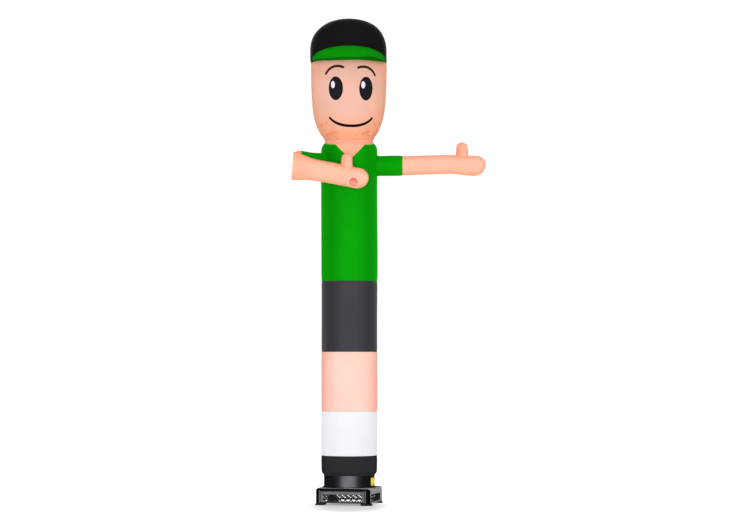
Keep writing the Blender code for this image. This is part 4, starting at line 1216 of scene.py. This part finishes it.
def makeHand(side):
    made = hands[side]
    place, limb, length = handPlace(made), made["limb"], made["length"]
    ventAt = limb["along"] * (made["wrist"] + length - made["ventFromTip"]) - limb["up"] * hand["ventDrop"]
    vent = (tubeAxis + limb["start"] + ventAt, made["ventOut"])
    surface = armPiece(
        "hand" + side,
        len(handShares),
        lambda turn, row: place(turn, handShares[row]),
        lambda turn, row: (turn * arms["radius"], handShares[row] * length),
        skinArm,
        "skin_nylon",
        (0.58, length),
        ["arm" + side],
        vent=(*vent, hand["ventRadius"]),
    )
    makeVentHem(side, surface, *vent)
    makeThumb(side, made, surface)
    return place


straightHand = makeHand("Straight")
foldedHand = makeHand("Folded")
print("arms made")

# Visor

visor = {
    "facing": math.radians(2.5),
    "half": math.radians(70.5),
    "ends": math.radians(74.5),  # where its two edges would meet
    "steps": 108,
    "topZ": 4.197,
    "endZ": 4.094,
    "reach": 0.150,
    "rimZ": 4.066,
    "thick": 0.032,
}
visorOutline = (
    # share of its reach, of the way down from its top to its rim, and of its thickness
    (0.00, 0.00, -1.00),
    (0.24, 0.20, -1.02),
    (0.50, 0.42, -1.00),
    (0.74, 0.63, -0.85),
    (0.90, 0.82, -0.55),
    (0.985, 1.00, -0.14),
    (1.00, 1.00, 0.08),
    (0.965, 0.88, 0.16),
    (0.84, 0.63, 0.18),
    (0.66, 0.40, 0.15),
    (0.42, 0.20, 0.10),
    (0.18, 0.06, 0.06),
    (0.00, 0.00, 0.00),
)


def visorSection(angle):  # closed outline at an angle: how far forward of the cap, and the height
    share = math.cos((angle - visor["facing"]) * math.pi / 2 / visor["ends"])
    top = visor["endZ"] + (visor["topZ"] - visor["endZ"]) * share**0.61
    rim = visor["endZ"] - 0.5 * visor["thick"] + (visor["rimZ"] - visor["endZ"]) * share**0.72
    thick = visor["thick"] * (0.4 + 0.6 * share)
    reach = visor["reach"] * share**0.574
    return [(out * reach, (1 - low) * top + low * rim + full * thick) for out, low, full in visorOutline]


def onVisor(angle, out, z):
    radius = max(tubeRadius(angle, z), tubeRadius(angle, dancer["capSide"])) + gap
    turn = angle - visor["facing"] + visor["half"]
    sway = 0.0014 * math.sin(5 * turn + 0.6) + 0.0007 * math.sin(13 * turn + 2.0)
    z += sway * smoothRise(out / 0.10)
    return tubeCentre(z) + outwards(angle, radius) + outwards(visor["facing"], out)


def visorSeam(t, lift):  # along the visor's upper side, near its rim
    angle = visor["facing"] + visor["half"] * 0.94 * (2 * t - 1)
    (outA, zA), (outB, zB) = visorSection(angle)[7:9]
    place = onVisor(angle, 0.6 * outA + 0.4 * outB, 0.6 * zA + 0.4 * zB)
    return place + outwards(angle, 0.6, 0.8) * (lift + 0.0006)


def makeVisor():
    count = len(visorOutline)
    bm = bmesh.new()
    ring = drawLine(bm, [(1, 0, row) for row in range(count)], closed=True)
    spinRound(bm, ring, visor["steps"], 2 * visor["half"])
    spots = {v: (math.atan2(v.co.y, v.co.x) % (2 * math.pi), round(v.co.z)) for v in bm.verts}
    layer = bm.loops.layers.uv.new("cloth")
    for face in bm.faces:
        for loop in face.loops:
            turn, row = spots[loop.vert]
            up = row if row or loop.face.calc_center_median().z < 2 else count
            # the painted dark band is a little wavy, and broader over the left eye
            wander = 0.10 * math.sin(7 * turn + 0.8) + 0.12 * math.sin(4 * turn)
            wander += 0.30 * bell(turn - 1.75, 0.45)
            loop[layer].uv = (turn * 0.42, 0.03 * (up - (wander if up > 5 else 0)))
    for vert, (turn, row) in spots.items():
        angle = visor["facing"] - visor["half"] + turn
        vert.co = onVisor(angle, *visorSection(angle)[row])
    bmesh.ops.holes_fill(bm, edges=[e for e in bm.edges if e.is_boundary], sides=0)
    bmesh.ops.recalc_face_normals(bm, faces=bm.faces)
    piece = addPiece("capVisor", bm, visorCloth, "green_nylon")


makeVisor()
print("visor made")

# Stitches: lockstitch in polyester thread, every stitch a small grain that lies on the cloth

thread = {"long": 0.0043, "wide": 0.0011, "high": 0.0009, "pitch": 0.007}


def levelRun(z, lift):
    return lambda t, rise: onTube(2 * math.pi * t, z, lift + rise)


def backRun(low, high, aside, lift=0.0):
    def path(t, rise):
        z = low + (high - low) * t
        return onTube(dancer["facing"] + math.pi + aside / tubeWidth(z), z, lift + rise)

    return path


def ringRun(place, along, lift):
    return lambda t, rise: place(2 * math.pi * t - math.pi, along, lift + rise)


def armholeRun(place, chest, step):
    def path(t, rise):
        turn = 2 * math.pi * t - math.pi
        return place(turn, chest(turn) + gap + step, 0.0017 + rise)

    return path


def bindingRun(t, rise):
    angle = 2 * math.pi * t
    return onTube(angle, neckline(angle) - 0.0048, binding["lift"] + rise)


rowSteps = (0.0036, 0.0082)  # a seam's two rows of stitches, from its edge
threadOf = {
    "hem": "black",
    "sock": "white",
    "leg": "skin",
    "shorts": "charcoal",
    "shirt": "green",
    "neck": "skin",
    "cap": "black",
}


def sew(ink, path, length):
    seamRuns[ink].append((path, round(length / thread["pitch"])))


def gatherRuns():
    for seam in seamNames:
        for step in rowSteps:
            path = levelRun(dancer[seam] + step, hemLift["high"])
            sew(threadOf[seam], path, headGirth if seam == "cap" else girth)
    sew("black", levelRun(dancer["hem"] + 0.013, 0), 1.5)
    sew("skin", levelRun(dancer["neck"] + 0.0045, 0), 1.42)
    sew("green", bindingRun, 1.6)
    backs = ("hem", "sock", "leg", "shorts", "shirt", "collar", "neck", "cap", "crown")
    for low, high in zip(backs, backs[1:]):
        if low in threadOf:  # the closing seam of each panel
            start, end = dancer[low] + 0.018, dancer[high] - 0.012
            for aside in (-0.0045, 0.0045):
                sew(threadOf[low], backRun(start, end, aside), end - start)
    aroundArm = armGirth * 1.05
    for step in rowSteps:
        sew("green", ringRun(straightPlace, arms["sleeveEnd"] - step, hemLift["high"]), aroundArm)
        sew("green", ringRun(foldedPlace, -arms["foldedSleeve"] - step, hemLift["high"]), aroundArm)
    sew("skin", ringRun(straightHand, 0.005 / straightHandLength, 0), aroundArm)
    sew("skin", ringRun(foldedHand, 0.005 / (foldedLength - arms["foldedWrist"]), 0), aroundArm)
    sew("green", armholeRun(straightPlace, straightChest, 0.006), aroundArm)
    sew("green", armholeRun(foldedPlace, foldedChest, 0.006), aroundArm)
    sew("green", visorSeam, 1.05)


def sewStitches(name, runs, material, slot):
    grain = bmesh.new()
    bmesh.ops.create_icosphere(grain, subdivisions=1, radius=0.5)
    shape = [vert.co.copy() for vert in grain.verts]
    faces = [[vert.index for vert in face.verts] for face in grain.faces]
    grain.free()
    points, polygons = [], []
    for path, count in runs:
        for i in range(count):
            t, step = (i + 0.5) / count, 0.2 / count
            middle = path(t, 0.2 * thread["high"])
            along = (path(t + step, 0) - path(t - step, 0)).normalized()
            out = (path(t, 0.002) - path(t, 0)).normalized()
            across = out.cross(along)
            first = len(points)
            for spot in shape:
                away = along * (spot.x * thread["long"]) + across * (spot.y * thread["wide"])
                points.append(middle + away + out * (spot.z * thread["high"]))
            polygons += [[first + corner for corner in face] for face in faces]
    joined = bpy.data.meshes.new("stitches")
    joined.from_pydata(points, [], polygons)
    bm = bmesh.new()
    bm.from_mesh(joined)
    bpy.data.meshes.remove(joined)
    addPiece(name, bm, material, slot, replaced=False)


gatherRuns()
for ink, runs in seamRuns.items():
    sewing = hardMaterial("polyester sewing thread, " + ink, threadColours[ink], 0.5, 0.10, 0.06, 0.60)
    sewStitches("stitches" + ink.capitalize(), runs, sewing, ink + "_nylon")
    print("stitches sewn,", ink, sum(count for path, count in runs))

# The blower: turned a little under the figure, plain, with its fan left out
blower = {
    "side": 0.515,
    "top": 0.155,
    "turn": math.radians(-14),
    "wall": 0.004,
    "cornerRound": 0.045,
    "topRound": 0.022,
    "skirt": 0.020,  # lower edge of the housing, on its feet
    "border": 0.014,  # rounded border round each sunk side panel
    "recess": 0.006,
    "outlet": 0.2245,
    "openingHalf": 0.184,
    "openingLow": 0.030,
    "openingHigh": 0.098,
    "footSide": 0.088,
    "footFlare": 0.010,
    "cellWidth": 0.052,  # of the diamond mesh
    "cellHeight": 0.036,
    "wireRadius": 0.0041,
    "guardOverlap": 0.007,
    # screws of each side, across and up: a small one holds the guard, two hold the housing
    "screwPlaces": ((0.047, 0.1045), (-0.184, 0.111), (0.184, 0.111)),
    "screwRadius": 0.0036,
    "glandX": -0.120,
}
duct = {
    "radius": 0.233,
    "wall": 0.003,
    "top": 0.405,
    "flange": 0.246,
    "flangeHigh": 0.006,
    "columns": 192,
    "screws": 12,
    "screwRadius": 0.0026,
    "stickerLow": 0.170,
    "stickerHigh": 0.247,
    "stickerFrom": math.radians(59),
    "stickerTo": math.radians(95),
}
sideNames = ("Front", "Right", "Back", "Left")


def putDown(bm, index=0):  # from the blower's own middle to its place under the tube
    bmesh.ops.rotate(bm, verts=bm.verts, cent=(0, 0, 0), matrix=quarterTurn(index, blower["turn"]))
    bmesh.ops.translate(bm, verts=bm.verts, vec=tubeAxis)


def addRod(bm, start, end, radius, endRadius=None, segments=12):
    run = end - start
    place = Matrix.Translation((start + end) / 2) @ run.to_track_quat("Z", "Y").to_matrix().to_4x4()
    last = radius if endRadius is None else endRadius
    made = bmesh.ops.create_cone(
        bm, cap_ends=True, segments=segments, radius1=radius, radius2=last, depth=run.length, matrix=place
    )
    return made["verts"]


def addScrew(bm, place, out, radius):  # pan head with a washer and a cross recess
    washerHigh = 0.0012
    seat = place + out * washerHigh
    addRod(bm, place, seat, 1.45 * radius, segments=20)
    head = addRod(bm, seat, seat + out * 0.55 * radius, radius, 0.72 * radius, 20)
    top = max(
        {face for vert in head for face in vert.link_faces},
        key=lambda face: face.calc_center_median().dot(out) + (0 if len(face.verts) < 8 else 1),
    )
    inset(bm, [top], 0.34 * radius)
    inset(bm, [top], 0.06 * radius, -0.22 * radius)


def inset(bm, faces, width, depth=0):
    return bmesh.ops.inset_individual(bm, faces=faces, thickness=width, depth=depth)["faces"]


def rounded(bm, geom, offset, segments, affect="EDGES"):
    bmesh.ops.bevel(
        bm, geom=geom, offset=offset, segments=segments, affect=affect, profile=0.5, material=-1
    )


def sliced(bm, place, normal):  # a row of edges where a plane cuts the piece
    geom = bm.verts[:] + bm.edges[:] + bm.faces[:]
    bmesh.ops.bisect_plane(bm, geom=geom, plane_co=place, plane_no=normal)


def isUpright(edge, high):
    return abs(edge.verts[0].co.z - edge.verts[1].co.z) > high


def quarterTurn(index, start=0.0):
    return Matrix.Rotation(start + math.pi / 2 * index, 3, "Z")


def bevelled(piece, width, segments, angle=35):
    softened = piece.modifiers.new("moulded edges", "BEVEL")
    softened.width = width
    softened.segments = segments
    softened.limit_method = "ANGLE"
    softened.angle_limit = math.radians(angle)


def boxShape(wide, low, high, middle=(0, 0)):  # the matrix of an upright box from a cube of 1
    place = Matrix.Translation((*middle, (low + high) / 2))
    return place @ Matrix.Diagonal((wide, wide, high - low, 1))


def cutIntake(bm, index):  # one side's opening: its four edges are cut and its faces go
    half, low, high = blower["openingHalf"], blower["openingLow"], blower["openingHigh"]
    out, across = quarterTurn(index) @ Vector((0, -1, 0)), quarterTurn(index) @ Vector((1, 0, 0))
    up, wallFrom = Vector((0, 0, 1)), 0.23
    cuts = ((across * half, across), (-across * half, across), (up * low, up), (up * high, up))
    for place, normal in cuts:
        near = [f for f in bm.faces if f.calc_center_median().dot(out) > wallFrom and abs(f.normal.z) < 0.8]
        bits = list({e for f in near for e in f.edges}) + list({v for f in near for v in f.verts}) + near
        bmesh.ops.bisect_plane(bm, geom=bits, plane_co=place + out * 0.2, plane_no=normal)
    gone = []
    for face in bm.faces:
        middle = face.calc_center_median()
        if middle.dot(out) > wallFrom and abs(middle.dot(across)) < half and low < middle.z < high:
            gone.append(face)
    bmesh.ops.delete(bm, geom=gone, context="FACES")


def makeHousing():
    side, low, high = blower["side"], blower["skirt"] + gap, blower["top"]
    black, grey, pale = range(3)
    bm = bmesh.new()
    bmesh.ops.create_cube(bm, size=1, matrix=boxShape(side, low, high))
    rounded(bm, [e for e in bm.edges if isUpright(e, 0.05)], blower["cornerRound"], 10)
    bm.normal_update()
    rounded(bm, list({e for f in bm.faces if f.normal.z > 0.9 for e in f.edges}), blower["topRound"], 6)
    bm.normal_update()
    for face in bm.faces:  # grey all over, with black rounded edges and a lighter grey lid; the two sides get that lighter grey as painted light
        sideways = abs(abs(face.normal.x) - abs(face.normal.y)) / max(face.normal.xy.length, 0.001)
        corner = abs(face.normal.z) < 0.45 and sideways < 0.85
        aside = abs(face.normal.x) > 1.6 * abs(face.normal.y)  # painted light: the two sides take the lid's lighter grey
        edge = 0.1 < face.normal.z < 0.88 and not aside
        face.material_index = black if corner or edge else (pale if aside or face.normal.z > 0.5 else grey)
    panels = [f for f in bm.faces if abs(f.normal.z) < 0.1 and f.calc_area() > 0.02]
    for face in inset(bm, panels, 0.7 * blower["border"]):
        if abs(face.normal.y) > 0.5:
            face.material_index = black
    inset(bm, panels, 0.3 * blower["border"], -blower["recess"])
    bm.normal_update()
    bmesh.ops.delete(bm, geom=[f for f in bm.faces if abs(f.normal.z) > 0.99], context="FACES_ONLY")
    rim = [e for e in bm.edges if e.is_boundary and e.verts[0].co.z > high - 0.001]
    lidPlace = Matrix.Translation((0, 0, high))
    circle = bmesh.ops.create_circle(bm, segments=120, radius=blower["outlet"], matrix=lidPlace)
    loop = list({e for vert in circle["verts"] for e in vert.link_edges})
    for face in bmesh.ops.bridge_loops(bm, edges=rim + loop)["faces"]:
        face.material_index = pale
    for index in range(4):
        cutIntake(bm, index)
    bmesh.ops.dissolve_degenerate(bm, edges=bm.edges, dist=0.00001)
    bmesh.ops.recalc_face_normals(bm, faces=bm.faces)
    putDown(bm)
    housing = addPiece("blowerHousing", bm, mouldedBlack, "moulded_housing", 40)
    housing.data.materials.append(mouldedGrey)
    housing.data.materials.append(lidGreyAndPaintedLitSides)
    thickened(housing, blower["wall"])
    bevelled(housing, 0.0012, 2)


def makeGuard(index):
    bm = bmesh.new()
    low = blower["openingLow"] - 0.5 * blower["guardOverlap"]
    high = blower["openingHigh"] + blower["guardOverlap"]
    middle, half = (low + high) / 2, (high - low) / 2 - blower["wireRadius"]
    wide = blower["openingHalf"] + blower["guardOverlap"] - blower["wireRadius"]
    wire, pitch = blower["wireRadius"], blower["cellWidth"]
    depth = -blower["side"] / 2 + blower["recess"] + blower["wall"] + gap + 1.9 * wire
    lean = pitch / blower["cellHeight"]
    for side, layer in ((1, -0.8 * wire), (-1, 0.8 * wire)):
        for k in range(-9, 10):  # each wire runs at a slant from edge to edge, cut off at the frame
            ends = []
            for z in (-half, half):
                x = k * pitch + side * z * lean
                held = min(max(x, -wide), wide)
                ends.append(Vector((held, depth + layer, middle + (held - k * pitch) / (side * lean))))
            if (ends[1] - ends[0]).length > 0.012:
                addRod(bm, ends[0], ends[1], wire, segments=8)
    corners = [Vector((x * wide, depth, middle + z * half)) for z in (-1, 1) for x in (-1, 1)]
    for start, end in ((0, 1), (2, 3), (0, 2), (1, 3)):  # the frame
        addRod(bm, corners[start], corners[end], 1.15 * wire, segments=10)
    putDown(bm, index)
    addPiece("intakeGuard" + sideNames[index], bm, guardWire, "wire_guard", 50)


def makeFoot(index, name):
    bm = bmesh.new()
    side, high = blower["footSide"], blower["skirt"]
    inner = blower["side"] / 2 - side / 2
    bmesh.ops.create_cube(bm, size=1, matrix=boxShape(side, 0, high, (inner, -inner)))
    upright = [e for e in bm.edges if isUpright(e, high / 2)]
    corner = [e for e in upright if e.verts[0].co.x > inner and e.verts[0].co.y < -inner]
    rounded(bm, corner, blower["cornerRound"], 10)
    for share in (0.35, 0.7):
        sliced(bm, (0, 0, share * high), (0, 0, 1))
    for vert in bm.verts:  # flares out towards the ground
        vert.co.xy *= 1 + (1 - vert.co.z / high) ** 2 * blower["footFlare"] / (blower["side"] / 2)
    bm.normal_update()
    sole = [f for f in bm.faces if f.normal.z < -0.9]
    inset(bm, sole, 0.008)
    inset(bm, sole, 0.002, -0.004)
    bmesh.ops.recalc_face_normals(bm, faces=bm.faces)
    putDown(bm, index)
    bevelled(addPiece("foot" + name, bm, footRubber, "foot_rubber", 40), 0.0018, 3, 30)


def makeDuct():
    foot, radius, wall = blower["top"] + gap, duct["radius"], duct["wall"]
    flangeTop, fillet, chamfer = foot + duct["flangeHigh"], 0.004, 0.0003
    outline = [(radius - wall, foot), (radius - wall, duct["top"] - wall)]
    for i in range(1, 6):  # rolled upper rim
        bend = math.pi * i / 6
        aside, up = math.cos(bend) * wall / 2, math.sin(bend) * wall
        outline.append((radius - wall / 2 - aside, duct["top"] - wall + up))
    outline += [(radius, duct["top"] - wall), (radius, flangeTop + fillet)]
    for i in range(1, 6):  # fillet down to the flange
        bend = math.pi / 2 * i / 6
        outline.append((radius + fillet * (1 - math.cos(bend)), flangeTop + fillet * (1 - math.sin(bend))))
    outline += [(radius + fillet, flangeTop), (duct["flange"] - 0.001, flangeTop)]
    outline += [(duct["flange"] - chamfer, flangeTop - chamfer), (duct["flange"], flangeTop - 0.001)]
    outline.append((duct["flange"], foot))
    bm = bmesh.new()
    spinRound(bm, drawLine(bm, [(r, 0, z) for r, z in outline], closed=True), duct["columns"])
    bmesh.ops.recalc_face_normals(bm, faces=bm.faces)
    bmesh.ops.translate(bm, verts=bm.verts, vec=tubeAxis)
    addPiece("ductRing", bm, ductLacquer, "lacquered_duct", 30)


def makeSticker():
    bm = bmesh.new()
    low, high = duct["stickerLow"] + 0.001, duct["stickerHigh"] - 0.001
    long = (duct["stickerTo"] - duct["stickerFrom"]) * duct["radius"]
    size = Matrix.Diagonal((long, high - low, 1, 1))
    bmesh.ops.create_grid(bm, x_segments=1, y_segments=1, size=0.5, matrix=size)
    rounded(bm, bm.verts[:], 0.006, 6, "VERTICES")
    for i in range(1, 24):
        sliced(bm, (-long / 2 + long * i / 24, 0, 0), (1, 0, 0))
    layer = bm.loops.layers.uv.new("sheet")
    for face in bm.faces:
        for loop in face.loops:
            loop[layer].uv = loop.vert.co.xy
    middle = (duct["stickerFrom"] + duct["stickerTo"]) / 2
    radius = duct["radius"] + gap + 0.0006
    for vert in bm.verts:
        angle, z = middle + vert.co.x / duct["radius"], (low + high) / 2 + vert.co.y
        vert.co = tubeAxis + outwards(angle, radius, z)
    thickened(addPiece("ductSticker", facedOut(bm), stickerVinyl, "yellow_sticker", 50), 0.0005)


def makeScrews():
    bm = bmesh.new()
    reach, flangeZ = duct["flange"] - 0.0048, blower["top"] + gap + duct["flangeHigh"]
    for i in range(duct["screws"]):
        angle = 2 * math.pi * (i + 0.5) / duct["screws"]
        place = Vector((reach * math.sin(angle), reach * math.cos(angle), flangeZ))
        addScrew(bm, place, Vector((0, 0, 1)), duct["screwRadius"])
    panelY = blower["recess"] - blower["side"] / 2
    for turn in (quarterTurn(index) for index in range(4)):
        for x, z in blower["screwPlaces"]:
            addScrew(bm, turn @ Vector((x, panelY, z)), turn @ Vector((0, -1, 0)), blower["screwRadius"])
    bm.normal_update()
    putDown(bm)
    addPiece("housingScrews", bm, blackenedSteel, "lacquered_duct", 30, replaced=False)


def makeGland():
    z = (blower["openingHigh"] + blower["top"] - blower["topRound"] - blower["border"]) / 2
    base = Vector((blower["glandX"], blower["side"] / 2 - blower["recess"] + gap, z))
    bm = bmesh.new()
    outline = ((7.5, 0), (7.5, 7.5), (8.0, 9.0), (8.0, 13.5), (6.8, 16.5), (5.2, 18.0))
    inside = ((4.0, 18.0), (3.6, 16.5), (3.6, 8.0), (0, 8.0))
    line = [(r * millimetre, 0, h * millimetre) for r, h in (*outline, *inside)]
    spinRound(bm, drawLine(bm, line), 32)
    bmesh.ops.remove_doubles(bm, verts=bm.verts, dist=0.00001)
    bmesh.ops.holes_fill(bm, edges=[e for e in bm.edges if e.is_boundary], sides=0)
    bmesh.ops.recalc_face_normals(bm, faces=bm.faces)
    nut = addRod(bm, Vector((0, 0, 0.00075)), Vector((0, 0, 0.00625)), 0.0088, segments=6)
    rounded(bm, list({e for vert in nut for e in vert.link_edges}), 0.0006, 2)
    bmesh.ops.rotate(bm, verts=bm.verts, cent=(0, 0, 0), matrix=Matrix.Rotation(-math.pi / 2, 3, "X"))
    bmesh.ops.translate(bm, verts=bm.verts, vec=base)
    putDown(bm)
    addPiece("cableGland", bm, footRubber, "foot_rubber", 40)


makeHousing()
for index in range(4):
    makeGuard(index)
for index, name in enumerate(("FrontRight", "BackRight", "BackLeft", "FrontLeft")):
    makeFoot(index, name)
makeDuct()
makeSticker()
makeScrews()
makeGland()
print("blower made")

# Stage, lights and camera

room = {
    "floorHalf": 60,
    "floorZ": -0.0006,
    "glow": 0.80,  # keeps the floor white where no lamp reaches
    "paintedShadowGlow": 0.29,  # and under the blower, where a soft shadow is painted into the glow
    "patchMiddle": -0.42,
    "patchHalfWidth": 0.50,
    "patchHalfDepth": 1.05,
    "fill": 0.74,
    "mirrored": 0.02,  # what glossy surfaces see of the white room
    "seen": 1.05,
}
bm = bmesh.new()
bmesh.ops.create_grid(bm, x_segments=1, y_segments=1, size=room["floorHalf"])
bmesh.ops.translate(bm, verts=bm.verts, vec=(0, 0, room["floorZ"]))
floorMesh = bpy.data.meshes.new("floor")
bm.to_mesh(floorMesh)
bm.free()
floorLook = {"Emission Color": (1, 1, 1, 1), "Specular IOR Level": 0.0}
floorMaterial, floorTree, floorShader = newMaterial("white painted studio floor", "#b4b4b4", 0.6, **floorLook)
# painted shadow: the floor's glow dims in a soft oval under and in front of the blower
patchMiddle = (tubeAxis.x, tubeAxis.y + room["patchMiddle"], 0)
patchSize = (room["patchHalfWidth"], room["patchHalfDepth"], 1)
patchReach = reachFrom(floorTree, addNode(floorTree, "TexCoord", {}, "Object"), patchMiddle, patchSize)
glow = ramp(floorTree, patchReach, 0.35, 1.0, room["paintedShadowGlow"], room["glow"])
floorTree.links.new(glow, floorShader.inputs["Emission Strength"])
floorMesh.materials.append(floorMaterial)
floor = bpy.data.objects.new("floor", floorMesh)
bpy.context.scene.collection.objects.link(floor)
floor.visible_glossy = False  # so that lacquer mirrors the softbox and not the lit floor

world = bpy.data.worlds.new("white studio")
world.use_nodes = True
bpy.context.scene.world = world
worldTree = world.node_tree
background = worldTree.nodes["Background"]
glossy, direct = (addNode(worldTree, "LightPath", {}, f"Is {ray} Ray") for ray in ("Glossy", "Camera"))
mirrored = ramp(worldTree, glossy, 0.0, 1.0, room["fill"], room["mirrored"], "LINEAR")
seen = ramp(worldTree, direct, 0.0, 1.0, mirrored, room["seen"], "LINEAR")
background.inputs["Color"].default_value = (1, 1, 1, 1)
worldTree.links.new(seen, background.inputs["Strength"])

lights = (
    # name, place, aims at, width, height, watts
    ("front softbox", (-0.5, -9.0, 2.3), (0, 0, 2.3), 11.0, 6.0, 385),
    ("top softbox", (0.5, -1.5, 9.0), (0, 0, 1.0), 5.0, 5.0, 120),
)
for name, place, aim, wide, high, watts in lights:
    data = bpy.data.lights.new(name, "AREA")
    data.shape = "RECTANGLE"
    data.energy, data.size, data.size_y = watts, wide, high
    lamp = bpy.data.objects.new(name, data)
    bpy.context.scene.collection.objects.link(lamp)
    lamp.visible_camera = False
    lamp.visible_glossy = name == "front softbox"  # the only one that lacquer mirrors
    lamp.location = tubeAxis + Vector(place)
    lamp.rotation_mode = "QUATERNION"
    lamp.rotation_quaternion = (Vector(aim) - Vector(place)).to_track_quat("-Z", "Y")

view = {"right": 0.2371, "back": 20.54, "height": 1.37, "pitch": 2.44, "lens": 106.5}
cameraData = bpy.data.cameras.new("photo camera")
cameraData.lens = view["lens"]
cameraData.sensor_width = 36
camera = bpy.data.objects.new("photo camera", cameraData)
bpy.context.scene.collection.objects.link(camera)
camera.location = tubeAxis + Vector((view["right"], -view["back"], view["height"]))
camera.rotation_euler = (math.radians(90 + view["pitch"]), 0, 0)
bpy.context.scene.camera = camera
bpy.context.scene.view_settings.view_transform = "Standard"
print("stage, lights and camera set")
